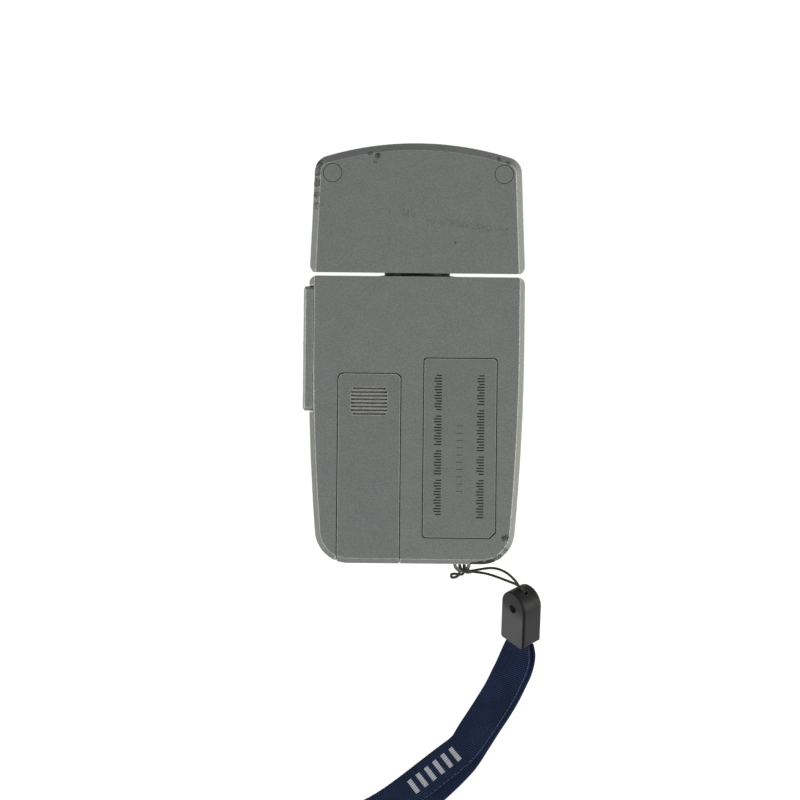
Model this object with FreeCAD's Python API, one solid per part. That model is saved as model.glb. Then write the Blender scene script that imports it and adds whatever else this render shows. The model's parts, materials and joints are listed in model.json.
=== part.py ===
import FreeCAD, Part
import math
import os

from FreeCAD import Vector

os.makedirs("parts", exist_ok=True)

# Handheld flash and ambient light meter, lying on its face. Millimetres.
# Case axes: +X to the right as seen from the back, +Y from the body towards the head, +Z out of
# the back. X = 0 is the case's centre line, Y = 0 the body's top edge, Z = 0 the front face.

# Case
CASE_T = 24.0
PARTING_Z = 12.0
SEAM = 0.25
HALF_W = 32.76
BODY_LEN = 87.1
STRAIGHT_LEN = 19.2
SIDE_R = 714.0
FOOT_R = 10.2
TOP_CORNER_R = 2.2
WALL = 1.9
FRONT_PLATE = 1.8
BACK_PLATE = 2.0
BACK_BEVEL = 1.7
FOOT_BEVEL = 1.5
FRONT_BEVEL = 1.2

# Head
HEAD_GAP = 1.0
GAP_DRAFT = 1.1
HEAD_LEN = 39.55
HEAD_TAPER = 0.041
HEAD_TOP_R = 96.0
HEAD_CORNER_R = 5.0
HEAD_SIDE_BEVEL = 2.0
HEAD_TOP_BEVEL = 2.4
HEAD_TOP_Y = HEAD_GAP + HEAD_LEN

# Parts that stand out of the case's outline, and the frame's place in the middle of them all
BAR_OUT = 1.7
LUG_OUT = 3.0
FRAME_X = BAR_OUT / 2
FRAME_Y = (BODY_LEN + LUG_OUT - HEAD_TOP_Y) / 2

# Neck, a hollow spigot that turns in a bush. Its axis lies along Y at mid thickness.
AXIS_Z = CASE_T / 2
SPIGOT_R = 8.5
COLLAR_R = 10.05
SPIGOT_BORE_R = 5.5
BUSH_R = 10.1
RIM_R = 11.5
RUNNING = 0.05
BUSH_OUT = 0.45
SHIM_R = 11.75
SHIM_T = 0.45

# Measuring bar in the left side wall
BAR_LOW_Y = -41.0
BAR_HIGH_Y = -3.2
BAR_DEPTH = 3.0
BAR_END_BEVEL = 1.1
BAR_TRAVEL = 0.8
BAR_EDGE_Z = 1.5
BAR_GAP = 0.2
LEDGE_X = -HALF_W - BAR_OUT + BAR_DEPTH + BAR_TRAVEL + BAR_GAP
LEDGE_T = 1.2

# Battery compartment for one AA cell
CELL_R = 7.25
CELL_LEN = 50.5
CELL_X = -14.2
CELL_Z = 14.7
CELL_TOP_Y = -31.5
NUB_R = 2.75
NUB_LEN = 1.0
DOOR_LEFT = -23.6
DOOR_RIGHT = -4.8
DOOR_TOP_Y = -29.6
DOOR_CORNER_R = 1.8
DOOR_T = 1.6
DOOR_GAP = 0.28
DOOR_LIP_Z = 16.3
DOOR_LIP_T = 1.5
RAIL_REACH = 0.7
GRIP_Y = -37.9
GRIP_LEN = 11.0
GRIP_PITCH = 1.1
GRIP_COUNT = 8

# Rating plate in a shallow recess of the back
PLATE_LEFT = 2.4
PLATE_RIGHT = 24.3
PLATE_TOP_Y = -24.8
PLATE_FOOT_Y = -79.0
PLATE_T = 0.5
PLATE_GAP = 0.28
PLATE_CUT = 1.8

# Circuit board, display and keys behind the front face
BOARD_Z = 4.8
BOARD_T = 1.2
LCD_Y = -20.5
LCD_W = 42.0
LCD_H = 24.0
WINDOW_W = 46.0
WINDOW_H = 27.0
KEY_W = 13.0
KEY_H = 7.6
KEY_R = 2.6
KEY_TOP_Z = 0.3
KEY_GAP = 0.15
KEYS = {
    "mode_key": (-14.0, -48.0),
    "iso_key": (14.0, -48.0),
    "down_key": (-14.0, -60.0),
    "up_key": (14.0, -60.0),
    "power_key": (0.0, -74.0),
}

# Screws
SCREW_R = 1.1
SCREW_HEAD_R = 2.0
SCREW_HEAD_T = 1.4
SCREW_SEAT_Z = 13.6
SCREW_LEN = 8.0
BODY_SCREWS = [(13.4, -38.5), (13.4, -74.0)]
HEAD_SCREWS = [(-26.0, 31.2), (26.0, 31.2)]
PLUG_R = 2.7
PLUG_GAP = 0.18
PLUG_T = 1.2
BOSS_R = 3.6

# Light sensor in the head
DISH_Y = 22.2
DISH_R = 16.0
DISH_FLOOR_Z = 8.0
DISH_FLOOR_T = 0.9
DISH_WALL = 1.0
DOME_R = 12.4
DOME_CROWN_Z = 0.3
DOME_BASE_Z = 7.6
DOME_WALL = 1.0
RING_R = 15.4
THROAT_R = 14.5
LUG_COUNT = 3

# Sync socket in the right side wall
SOCKET_Y = -62.0
SOCKET_R = 3.0
SOCKET_BORE_R = 1.75
SOCKET_LEN = 5.0
SOCKET_DEPTH = 4.0
CONTACT_R = 1.2
SOCKET_SET_IN = 0.1

# Strap lug on the foot, and the wrist strap
LUG_X = 14.6
LUG_Z = 13.6
LUG_W = 5.4
LUG_T = 2.4
LUG_WALL = 1.0
CORD_R = 0.45
CLIP_W = 10.4
CLIP_D = 7.4
CLIP_STRAIGHT = 13.3
CLIP_FOOT = Vector(33.05, -110.7, 5.6)
CLIP_WIDTH_AXIS = Vector(0.653, -0.405, 0.638)
CLIP_DEPTH_AXIS = Vector(0.757, 0.349, -0.55)
CLIP_LONG_AXIS = Vector(0.0, 0.844, 0.536)
CLIP_HOLE_R = 1.45
PIN_W = 17.0
PIN_R = 0.6
MOUTH_W = 9.6
MOUTH_DEPTH = 4.1
STRAP_T = 2.0

# Strap's mid line: place, how far its width leans out of the level in degrees, and its width
STRAP_ROUTE = [
    ((33.05, -107.32, 7.74), 49.1, 9.4),
    ((33.05, -110.90, 5.49), 49.1, 9.5),
    ((32.90, -113.25, 5.20), 38.0, 10.8),
    ((32.48, -116.30, 4.85), 22.0, 11.3),
    ((31.23, -120.25, 4.40), 11.0, 11.8),
    ((27.95, -127.35, 3.50), 4.0, 11.8),
    ((24.95, -132.53, 2.90), 3.0, 12.0),
    ((22.00, -137.15, 2.35), 2.0, 11.8),
    ((19.20, -141.55, 2.00), 2.0, 11.8),
    ((17.10, -145.75, 1.78), 2.0, 12.3),
    ((13.00, -149.60, 1.56), 2.0, 13.4),
    ((7.70, -154.25, 1.30), 1.0, 14.3),
    ((0.00, -160.70, 1.12), 0.0, 15.1),
    ((-7.90, -165.95, 1.05), 0.0, 13.7),
    ((-18.90, -171.20, 1.05), 0.0, 13.1),
    ((-31.60, -175.20, 1.05), 0.0, 12.6),
    ((-45.60, -177.20, 1.05), 0.0, 12.1),
    ((-60.00, -176.80, 1.05), 0.0, 11.8),
    ((-78.20, -173.10, 1.05), 0.0, 11.4),
]


def save(name, shape):
    moved = shape.copy()
    moved.translate(Vector(FRAME_X, FRAME_Y, 0))
    moved.exportStep("parts/" + name + ".step")


def box(x0, x1, y0, y1, z0, z1):
    return Part.makeBox(x1 - x0, y1 - y0, z1 - z0, Vector(x0, y0, z0))


def disc(r, x, y, z0, z1):
    return Part.makeCylinder(r, z1 - z0, Vector(x, y, z0))


def tube(r_out, r_in, x, y, z0, z1):
    return disc(r_out, x, y, z0, z1).cut(disc(r_in, x, y, z0, z1))


def neck_disc(r, y0, y1):
    return Part.makeCylinder(r, y1 - y0, Vector(0, y0, AXIS_Z), Vector(0, 1, 0))


def neck_ring(r_out, r_in, y0, y1):
    return neck_disc(r_out, y0, y1).cut(neck_disc(r_in, y0, y1))


def flats(y0, y1):
    """The slab that a neck flange keeps so that it fits between the front and back plates."""
    return box(-20, 20, y0, y1, FRONT_PLATE + 0.5, CASE_T - BACK_PLATE - 0.3)


def join(shapes):
    whole = shapes[0]
    for shape in shapes[1:]:
        whole = whole.fuse(shape)
    return whole.removeSplitter()


def arc_point(centre, r, angle):
    return Vector(centre[0] + r * math.cos(angle), centre[1] + r * math.sin(angle), 0)


def arc(centre, r, a0, a1):
    ends = [arc_point(centre, r, a) for a in (a0, (a0 + a1) / 2, a1)]
    return Part.Arc(*ends).toShape()


def line(p, q):
    return Part.LineSegment(p, q).toShape()


def mirrored_outline(right_half, z):
    """A closed wire from the edges of its right half, listed from the top middle downwards."""
    left_half = []
    for edge in reversed(right_half):
        left_half.append(edge.mirror(Vector(0, 0, 0), Vector(1, 0, 0)))
    first = right_half[0].Vertexes[0].Point
    last = right_half[-1].Vertexes[-1].Point
    across_foot = line(last, Vector(-last.x, last.y, 0))
    across_top = line(Vector(-first.x, first.y, 0), first)
    wire = Part.Wire(Part.__sortEdges__(right_half + [across_foot] + left_half + [across_top]))
    wire.translate(Vector(0, 0, z))
    return wire


def body_outline(z, side=0.0, foot=0.0, top=0.0):
    """The body seen from the back, drawn in by side, foot and top."""
    w = HALF_W - side
    r_top = max(TOP_CORNER_R - side, 0.6)
    r_foot = FOOT_R - foot
    r_side = SIDE_R - side
    side_centre = (w - r_side, -STRAIGHT_LEN)
    foot_y = -BODY_LEN + foot
    foot_cy = foot_y + r_foot
    reach = r_side - r_foot
    foot_cx = side_centre[0] + math.sqrt(reach ** 2 - (foot_cy - side_centre[1]) ** 2)
    turn = math.atan2(foot_cy - side_centre[1], foot_cx - side_centre[0])
    top_centre = (w - r_top, -top - r_top)
    right = [
        arc(top_centre, r_top, math.pi / 2, 0),
        line(Vector(w, top_centre[1], 0), Vector(w, -STRAIGHT_LEN, 0)),
        arc(side_centre, r_side, 0, turn),
        arc((foot_cx, foot_cy), r_foot, turn, -math.pi / 2),
    ]
    return mirrored_outline(right, z)


def head_outline(z, side=0.0, top=0.0, foot=0.0):
    """The head seen from the back, drawn in by side, top and foot."""
    w = HALF_W - side
    tilt = math.atan(HEAD_TAPER)
    y0 = HEAD_GAP
    r_foot = max(TOP_CORNER_R - side, 0.6)
    r_corner = HEAD_CORNER_R - side
    foot_y = y0 + foot
    foot_cy = foot_y + r_foot
    foot_cx = w - r_foot / math.cos(tilt) - HEAD_TAPER * (foot_cy - y0)
    arc_r = HEAD_TOP_R - top
    arc_cy = HEAD_TOP_Y - HEAD_TOP_R
    start = w - r_corner / math.cos(tilt)
    drop = y0 - arc_cy
    a = HEAD_TAPER ** 2 + 1
    b = 2 * (drop - start * HEAD_TAPER)
    c = start ** 2 + drop ** 2 - (arc_r - r_corner) ** 2
    rise = (-b + math.sqrt(b * b - 4 * a * c)) / (2 * a)
    corner = (start - HEAD_TAPER * rise, y0 + rise)
    up = math.atan2(corner[1] - arc_cy, corner[0])
    corner_end = arc_point(corner, r_corner, tilt)
    foot_end = arc_point((foot_cx, foot_cy), r_foot, tilt)
    right = [
        arc((0, arc_cy), arc_r, math.pi / 2, up),
        arc(corner, r_corner, up, tilt),
        line(corner_end, foot_end),
        arc((foot_cx, foot_cy), r_foot, tilt, -math.pi / 2),
    ]
    left = []
    for edge in right:
        left.append(edge.mirror(Vector(0, 0, 0), Vector(1, 0, 0)))
    last = right[-1].Vertexes[-1].Point
    across = line(last, Vector(-last.x, last.y, 0))
    wire = Part.Wire(Part.__sortEdges__(right + [across] + left))
    wire.translate(Vector(0, 0, z))
    return wire


def prism(wire, height):
    return Part.Face(wire).extrude(Vector(0, 0, height))


def frustum(wire_a, wire_b):
    return Part.makeLoft([wire_a, wire_b], True, True)


def rounded_block(x0, x1, y0, y1, z0, z1, r):
    block = box(x0, x1, y0, y1, z0, z1)
    upright = [e for e in block.Edges if abs(e.tangentAt(e.FirstParameter).z) > 0.9]
    return block.makeFillet(r, upright)


def body_back_solid():
    """The outer form of the body's back half."""
    low = PARTING_Z + SEAM
    high = CASE_T - BACK_BEVEL
    seam = frustum(body_outline(PARTING_Z, SEAM, SEAM, SEAM), body_outline(low))
    middle = prism(body_outline(low), high - low)
    bevel = frustum(body_outline(high), body_outline(CASE_T, BACK_BEVEL, FOOT_BEVEL))
    return join([seam, middle, bevel])


def body_front_solid():
    """The outer form of the body's front half."""
    high = PARTING_Z - SEAM
    bevel = frustum(body_outline(0, FRONT_BEVEL, FRONT_BEVEL), body_outline(FRONT_BEVEL))
    middle = prism(body_outline(FRONT_BEVEL), high - FRONT_BEVEL)
    seam = frustum(body_outline(high), body_outline(PARTING_Z, SEAM, SEAM, SEAM))
    return join([bevel, middle, seam])


def gap_draft():
    """What the head's drafted foot leaves away, wider towards its front face."""
    corners = [(HEAD_GAP - 1, CASE_T), (HEAD_GAP, CASE_T), (HEAD_GAP + GAP_DRAFT, 0), (HEAD_GAP - 1, 0)]
    points = [Vector(-40, y, z) for y, z in corners]
    return Part.Face(Part.makePolygon(points + [points[0]])).extrude(Vector(80, 0, 0))


def head_back_solid():
    low = PARTING_Z + SEAM
    high = CASE_T - HEAD_SIDE_BEVEL
    seam = frustum(head_outline(PARTING_Z, SEAM, SEAM, SEAM), head_outline(low))
    middle = prism(head_outline(low), high - low)
    bevel = frustum(head_outline(high), head_outline(CASE_T, HEAD_SIDE_BEVEL, HEAD_TOP_BEVEL))
    return join([seam, middle, bevel]).cut(gap_draft())


def head_front_solid():
    high = PARTING_Z - SEAM
    bevel = frustum(head_outline(0, FRONT_BEVEL, FRONT_BEVEL), head_outline(FRONT_BEVEL))
    middle = prism(head_outline(FRONT_BEVEL), high - FRONT_BEVEL)
    seam = frustum(head_outline(high), head_outline(PARTING_Z, SEAM, SEAM, SEAM))
    return join([bevel, middle, seam]).cut(gap_draft())


# Body shells


def bar_pocket():
    """The pocket of the measuring bar, the notch that shows its back edge, and the stem's way in."""
    low_y = BAR_LOW_Y - BAR_GAP
    high_y = BAR_HIGH_Y + BAR_GAP
    low_z = BAR_EDGE_Z - BAR_GAP
    high_z = CASE_T - BAR_EDGE_Z + BAR_GAP
    pocket = box(-40, LEDGE_X, low_y, high_y, low_z, high_z)
    notch_x = -HALF_W - BAR_OUT + BAR_DEPTH + BAR_GAP
    notch = box(-40, notch_x, low_y, high_y, -1, CASE_T + 1)
    stem_way = box(LEDGE_X - 1, LEDGE_X + LEDGE_T + 1, low_y + 4, high_y - 4, 6.8, 17.2)
    return join([pocket, notch, stem_way])


def bar_ledge(z0, z1):
    """The rib behind the pocket that keeps the bar in."""
    return box(-HALF_W + 0.6, LEDGE_X + LEDGE_T, BAR_LOW_Y - 1.8, -WALL / 2, z0, z1)


def door_prism(gap):
    """What the battery door fills of the case: the lid, and the lip that wraps the foot."""
    x0 = DOOR_LEFT - gap
    x1 = DOOR_RIGHT + gap
    lid_z = CASE_T - DOOR_T - gap
    lid = rounded_block(x0, x1, -BODY_LEN - 20, DOOR_TOP_Y + gap, lid_z, CASE_T + 5, DOOR_CORNER_R)
    lip_y = -BODY_LEN + DOOR_LIP_T + gap
    lip = box(x0, x1, -BODY_LEN - 5, lip_y, DOOR_LIP_Z - gap, CASE_T + 5)
    return lid.fuse(lip)


def rail_way():
    """The room that the door's rails need where they slide out through the foot."""
    x0 = DOOR_LEFT - RAIL_REACH - 0.2
    x1 = DOOR_RIGHT + RAIL_REACH + 0.2
    return box(x0, x1, -BODY_LEN - 5, -BODY_LEN + WALL + 0.5, 20.9, CASE_T - BACK_PLATE)


def battery_box():
    """The compartment's block with the cell's trough, moulded under the back plate."""
    x0 = DOOR_LEFT - 1.9
    x1 = DOOR_RIGHT + 1.9
    block = box(x0, x1, -BODY_LEN + WALL - 0.5, DOOR_TOP_Y + 0.9, 6.2, CASE_T - BACK_PLATE)
    return block.common(prism(body_outline(0, 1.0, 1.0, 0), CASE_T))


def battery_room():
    """The space inside the compartment."""
    x0 = DOOR_LEFT - 0.9
    x1 = DOOR_RIGHT + 0.9
    foot_y = -BODY_LEN + WALL
    room = box(x0, x1, foot_y, DOOR_TOP_Y - 0.4, CELL_Z, CASE_T - BACK_PLATE)
    mouth = box(DOOR_LEFT + 0.2, DOOR_RIGHT - 0.2, foot_y - 1, DOOR_TOP_Y - 0.4, CELL_Z, CASE_T - 1)
    trough_len = DOOR_TOP_Y - 0.4 - foot_y
    trough = Part.makeCylinder(CELL_R + 0.2, trough_len, Vector(CELL_X, foot_y, CELL_Z), Vector(0, 1, 0))
    return join([room, mouth, trough])


def plate_outline(gap):
    """The rating plate's outline, with one cut corner."""
    x0 = PLATE_LEFT - gap
    x1 = PLATE_RIGHT + gap
    y0 = PLATE_FOOT_Y - gap
    y1 = PLATE_TOP_Y + gap
    blank = rounded_block(x0, x1, y0, y1, CASE_T - PLATE_T - gap, CASE_T + 1, 1.0)
    corner = Part.makePolygon([
        Vector(x1 + 1, y0 - 1, 0),
        Vector(x1 + 1, y0 + PLATE_CUT, 0),
        Vector(x1, y0 + PLATE_CUT, 0),
        Vector(x1 - PLATE_CUT, y0, 0),
        Vector(x1 - PLATE_CUT, y0 - 1, 0),
        Vector(x1 + 1, y0 - 1, 0),
    ])
    return blank.cut(prism(corner, CASE_T + 5))


def screw_holes(spots):
    """The screws' own holes, below their heads."""
    low = SCREW_SEAT_Z - SCREW_LEN - 0.3
    return join([disc(SCREW_R + 0.05, x, y, low, SCREW_SEAT_Z + 0.1) for x, y in spots])


def screw_counterbores(spots, top_z):
    """The way from the back down to each screw's seat."""
    return join([disc(SCREW_HEAD_R + 0.2, x, y, SCREW_SEAT_Z, top_z) for x, y in spots])


def along_x(r, x0, x1, y, z):
    return Part.makeCylinder(r, x1 - x0, Vector(x0, y, z), Vector(1, 0, 0))


def socket_face_x():
    """Where the side wall stands at the sync socket, less the socket's small set-in."""
    drop = -SOCKET_Y - STRAIGHT_LEN
    return HALF_W - drop * drop / (2 * SIDE_R) - SOCKET_SET_IN


def socket_way():
    face_x = socket_face_x()
    return along_x(SOCKET_R + 0.02, face_x - SOCKET_LEN - 1, face_x + 2, SOCKET_Y, PARTING_Z)


def lug_slot():
    half = LUG_W / 2 + 0.05
    z0 = LUG_Z - LUG_T / 2 - 0.05
    z1 = LUG_Z + LUG_T / 2 + 0.05
    return box(LUG_X - half, LUG_X + half, -BODY_LEN - 1, -BODY_LEN + WALL + 1, z0, z1)


def make_rear_shell():
    shell = body_back_solid()
    cavity_h = CASE_T - BACK_PLATE - PARTING_Z
    shell = shell.cut(prism(body_outline(PARTING_Z - 0.01, WALL, WALL, WALL), cavity_h + 0.01))
    inside = [shell, battery_box(), bar_ledge(PARTING_Z, CASE_T - BACK_PLATE)]
    for x, y in BODY_SCREWS:
        inside.append(disc(BOSS_R, x, y, PARTING_Z, CASE_T - BACK_PLATE))
    shell = join(inside)
    cuts = [
        door_prism(DOOR_GAP),
        rail_way(),
        battery_room(),
        plate_outline(PLATE_GAP),
        bar_pocket(),
        screw_holes(BODY_SCREWS),
        screw_counterbores(BODY_SCREWS, CASE_T),
        neck_disc(BUSH_R + 0.02, -5, 2),
        socket_way(),
        lug_slot(),
    ]
    for cut in cuts:
        shell = shell.cut(cut)
    return shell


def make_front_shell():
    shell = body_front_solid()
    cavity = prism(body_outline(FRONT_PLATE, WALL, WALL, WALL), PARTING_Z - FRONT_PLATE + 0.01)
    shell = shell.cut(cavity)
    inside = [shell, bar_ledge(FRONT_PLATE, PARTING_Z)]
    for x, y in BODY_SCREWS:
        inside.append(disc(BOSS_R - 0.6, x, y, FRONT_PLATE, PARTING_Z))
    shell = join(inside)
    top_y = LCD_Y + WINDOW_H / 2
    foot_y = LCD_Y - WINDOW_H / 2
    recess = rounded_block(-WINDOW_W / 2, WINDOW_W / 2, foot_y, top_y, -1, 1.2, 2.5)
    view = rounded_block(-20, 20, LCD_Y - 10.5, LCD_Y + 10.5, -1, 3, 1.5)
    cuts = [
        recess,
        view,
        bar_pocket(),
        screw_holes(BODY_SCREWS),
        neck_disc(BUSH_R + 0.02, -5, 2),
        socket_way(),
        battery_box().translated(Vector(0, 0, -0.05)).common(box(-40, 40, -100, 0, 0, PARTING_Z)),
    ]
    for x, y in KEYS.values():
        w = KEY_W / 2 + KEY_GAP
        h = KEY_H / 2 + KEY_GAP
        cuts.append(rounded_block(x - w, x + w, y - h, y + h, -1, FRONT_PLATE + 1, KEY_R))
    for cut in cuts:
        shell = shell.cut(cut)
    return shell


def make_rating_plate():
    return plate_outline(0).common(box(-50, 50, -100, 0, 0, CASE_T - 0.05))


# Display, board and keys


def make_lcd_window():
    w = WINDOW_W / 2 - 0.1
    h = WINDOW_H / 2 - 0.1
    return rounded_block(-w, w, LCD_Y - h, LCD_Y + h, 0.15, 1.2, 2.4)


def make_lcd_glass():
    return box(-LCD_W / 2, LCD_W / 2, LCD_Y - LCD_H / 2, LCD_Y + LCD_H / 2, 2.0, 4.0)


def make_lcd_frame():
    outer = box(-23, 23, LCD_Y - 14, LCD_Y + 13, FRONT_PLATE, BOARD_Z)
    w = LCD_W / 2 + 0.2
    h = LCD_H / 2 + 0.2
    return outer.cut(box(-w, w, LCD_Y - h, LCD_Y + h, FRONT_PLATE, BOARD_Z))


def make_lcd_connectors():
    strips = []
    for side in (-1, 1):
        y = LCD_Y + side * (LCD_H / 2 - 1.5)
        strips.append(box(-19, 19, y - 1, y + 1, 4.0, BOARD_Z))
    return Part.makeCompound(strips)


def make_main_board():
    board = prism(body_outline(BOARD_Z, 5.4, 3.4, 7.0), BOARD_T)
    for x, y in BODY_SCREWS:
        board = board.cut(disc(BOSS_R - 0.4, x, y, BOARD_Z, BOARD_Z + BOARD_T))
    return board


def make_board_parts():
    top = BOARD_Z + BOARD_T
    chips = [
        (4, 14, -52, -42, 1.6),
        (17, 23, -50, -44, 1.4),
        (3, 9, -64, -58, 2.0),
        (16, 22, -62, -57, 3.0),
        (-1, 5, -25, -19, 1.4),
        (9, 14, -18, -14, 2.2),
        (18, 22, -25, -20, 3.2),
        (-3.2, 3.2, -12.6, -9.0, 0.8),
    ]
    return Part.makeCompound([box(x0, x1, y0, y1, top, top + h) for x0, x1, y0, y1, h in chips])


def make_key_mat():
    foot_y = min(y for _, y in KEYS.values()) - KEY_H / 2 - 1.5
    sheet = box(-22, 22, foot_y, -42.4, 4.2, BOARD_Z)
    domes = [disc(2.6, x, y, 3.9, 4.3) for x, y in KEYS.values()]
    mat = join([sheet] + domes)
    for x, y in BODY_SCREWS:
        mat = mat.cut(disc(BOSS_R - 0.4, x, y, 0, 10))
    return mat


def make_key(x, y):
    w = KEY_W / 2
    h = KEY_H / 2
    cap = rounded_block(x - w, x + w, y - h, y + h, KEY_TOP_Z, 2.1, KEY_R)
    rim = [e for e in cap.Edges if e.BoundBox.ZMax < KEY_TOP_Z + 0.01]
    cap = cap.makeFillet(0.4, rim)
    flange = rounded_block(x - w - 0.9, x + w + 0.9, y - h - 0.9, y + h + 0.9, 2.0, 2.6, KEY_R)
    post = disc(1.8, x, y, 2.5, 3.2)
    return join([cap, flange, post])


# Measuring bar


def make_measure_bar():
    x0 = -HALF_W - BAR_OUT
    x1 = x0 + BAR_DEPTH
    z0 = BAR_EDGE_Z
    z1 = CASE_T - BAR_EDGE_Z
    bar = box(x0, x1, BAR_LOW_Y, BAR_HIGH_Y, z0, z1)
    outer = [e for e in bar.Edges if e.BoundBox.XMax < x0 + 0.01]
    bar = bar.makeChamfer(0.7, outer)
    inset = 3.9
    stem = box(x1 - 0.5, -29.1, BAR_LOW_Y + inset, BAR_HIGH_Y - inset, 7.0, 17.0)
    lip = box(-29.1, -28.2, BAR_LOW_Y + inset - 1, BAR_HIGH_Y - inset + 1, 5.8, 18.2)
    pip = Part.makeSphere(0.8, Vector(x0 + 0.55, -20.6, AXIS_Z + 7.5))
    whole = join([bar, stem, lip, pip])
    for y, inward in ((BAR_LOW_Y, BAR_END_BEVEL), (BAR_HIGH_Y, -BAR_END_BEVEL)):
        for z, down in ((z0, 0.8), (z1, -0.8)):
            corners = [(y, z), (y + inward, z), (y, z + down)]
            points = [Vector(x0 - 1, *corner) for corner in corners]
            wedge = Part.Face(Part.makePolygon(points + [points[0]])).extrude(Vector(9, 0, 0))
            whole = whole.cut(wedge)
    return whole


def make_switch():
    """The push switch's housing behind the bar. It is bored for the plunger."""
    housing = box(-27.0, -22.6, -25.0, -19.0, BOARD_Z + BOARD_T, 12.0)
    return housing.cut(along_x(1.0, -27.0, -23.6, -22.0, 9.0))


def make_plunger():
    return along_x(0.95, -28.2, -24.6, -22.0, 9.0)


# Battery


def make_battery_door():
    outer = body_back_solid()
    lid = door_prism(0).common(outer)
    z0 = CASE_T - DOOR_T - 1.3
    z1 = CASE_T - DOOR_T + 0.2
    foot_y = -BODY_LEN + DOOR_LIP_T - 0.2
    left = box(DOOR_LEFT + 0.4, DOOR_LEFT + 1.2, foot_y, DOOR_TOP_Y - 2.0, z0, z1)
    left_lip = box(DOOR_LEFT - RAIL_REACH, DOOR_LEFT + 1.2, foot_y, DOOR_TOP_Y - 2.0, z0, z0 + 0.7)
    right = box(DOOR_RIGHT - 1.2, DOOR_RIGHT - 0.4, foot_y, DOOR_TOP_Y - 2.0, z0, z1)
    right_lip = box(DOOR_RIGHT - 1.2, DOOR_RIGHT + RAIL_REACH, foot_y, DOOR_TOP_Y - 2.0, z0, z0 + 0.7)
    door = join([lid, left, left_lip, right, right_lip])
    middle = (DOOR_LEFT + DOOR_RIGHT) / 2
    for i in range(GRIP_COUNT):
        y = GRIP_Y + (i - (GRIP_COUNT - 1) / 2) * GRIP_PITCH
        half = GRIP_LEN / 2
        if i in (0, GRIP_COUNT - 1):
            half = GRIP_LEN / 2 - 0.5
        door = door.cut(box(middle - half, middle + half, y - 0.3, y + 0.3, CASE_T - 0.45, CASE_T + 1))
    return door


def along_y(r, x, z, y0, y1):
    return Part.makeCylinder(r, y1 - y0, Vector(x, y0, z), Vector(0, 1, 0))


def make_aa_cell():
    can_top = CELL_TOP_Y - NUB_LEN
    can = along_y(CELL_R, CELL_X, CELL_Z, CELL_TOP_Y - CELL_LEN, can_top)
    rims = [e for e in can.Edges if len(e.Vertexes) == 1]
    can = can.makeFillet(0.5, rims)
    return can.fuse(along_y(NUB_R, CELL_X, CELL_Z, can_top - 0.1, CELL_TOP_Y)).removeSplitter()


def make_plus_contact():
    y1 = DOOR_TOP_Y - 0.4
    plate = box(CELL_X - 4, CELL_X + 4, y1 - 0.4, y1, CELL_Z - 4, CELL_Z + 4)
    boss = along_y(2.0, CELL_X, CELL_Z, CELL_TOP_Y, y1 - 0.3)
    return join([plate, boss])


def make_battery_spring():
    low_y = -BODY_LEN + WALL + 0.4
    high_y = CELL_TOP_Y - CELL_LEN
    cone = Part.makeCone(4.0, 2.2, high_y - low_y, Vector(CELL_X, low_y, CELL_Z), Vector(0, 1, 0))
    core = Part.makeCone(3.4, 1.6, high_y - low_y, Vector(CELL_X, low_y, CELL_Z), Vector(0, 1, 0))
    return cone.cut(core)


def make_minus_contact():
    y0 = -BODY_LEN + WALL
    return box(CELL_X - 4.5, CELL_X + 4.5, y0, y0 + 0.4, 10.2, 19.2)


# Fastenings


def make_screws(spots):
    screws = []
    for x, y in spots:
        shank = disc(SCREW_R, x, y, SCREW_SEAT_Z - SCREW_LEN, SCREW_SEAT_Z + 0.1)
        head = disc(SCREW_HEAD_R, x, y, SCREW_SEAT_Z, SCREW_SEAT_Z + SCREW_HEAD_T)
        cross = box(x - 1.2, x + 1.2, y - 0.25, y + 0.25, SCREW_SEAT_Z + 0.6, SCREW_SEAT_Z + 3)
        cross = cross.fuse(box(x - 0.25, x + 0.25, y - 1.2, y + 1.2, SCREW_SEAT_Z + 0.6, SCREW_SEAT_Z + 3))
        screws.append(join([shank, head]).cut(cross))
    return Part.makeCompound(screws)


def make_plugs():
    plugs = []
    for x, y in HEAD_SCREWS:
        plugs.append(disc(PLUG_R, x, y, CASE_T - PLUG_T, CASE_T - 0.06))
    return Part.makeCompound(plugs)


# Sockets and the strap lug


def make_sync_socket():
    face_x = socket_face_x()
    body = along_x(SOCKET_R, face_x - SOCKET_LEN, face_x, SOCKET_Y, PARTING_Z)
    bore = along_x(SOCKET_BORE_R, face_x - SOCKET_DEPTH, face_x + 1, SOCKET_Y, PARTING_Z)
    seat = along_x(CONTACT_R, face_x - SOCKET_LEN - 1, face_x, SOCKET_Y, PARTING_Z)
    return body.cut(bore).cut(seat)


def make_sync_contact():
    inner_x = socket_face_x() - SOCKET_LEN
    plug = along_x(CONTACT_R, inner_x, socket_face_x() - SOCKET_DEPTH, SOCKET_Y, PARTING_Z)
    return join([plug, along_x(0.5, inner_x - 2.0, inner_x, SOCKET_Y, PARTING_Z)])


def make_strap_lug():
    foot = -BODY_LEN
    half = LUG_W / 2
    z0 = LUG_Z - LUG_T / 2
    z1 = LUG_Z + LUG_T / 2
    end_y = foot - LUG_OUT + half
    loop = box(LUG_X - half, LUG_X + half, end_y, foot + WALL + 0.1, z0, z1)
    loop = loop.fuse(disc(half, LUG_X, end_y, z0, z1))
    eye_half = half - LUG_WALL
    eye = box(LUG_X - eye_half, LUG_X + eye_half, end_y, foot - 0.1, z0, z1)
    eye = eye.fuse(disc(eye_half, LUG_X, end_y, z0, z1))
    anchor = box(LUG_X - 4, LUG_X + 4, foot + WALL + 0.05, foot + WALL + 1.2, PARTING_Z + 0.2, z1 + 0.6)
    return join([loop.cut(eye), anchor])


# Neck


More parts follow.
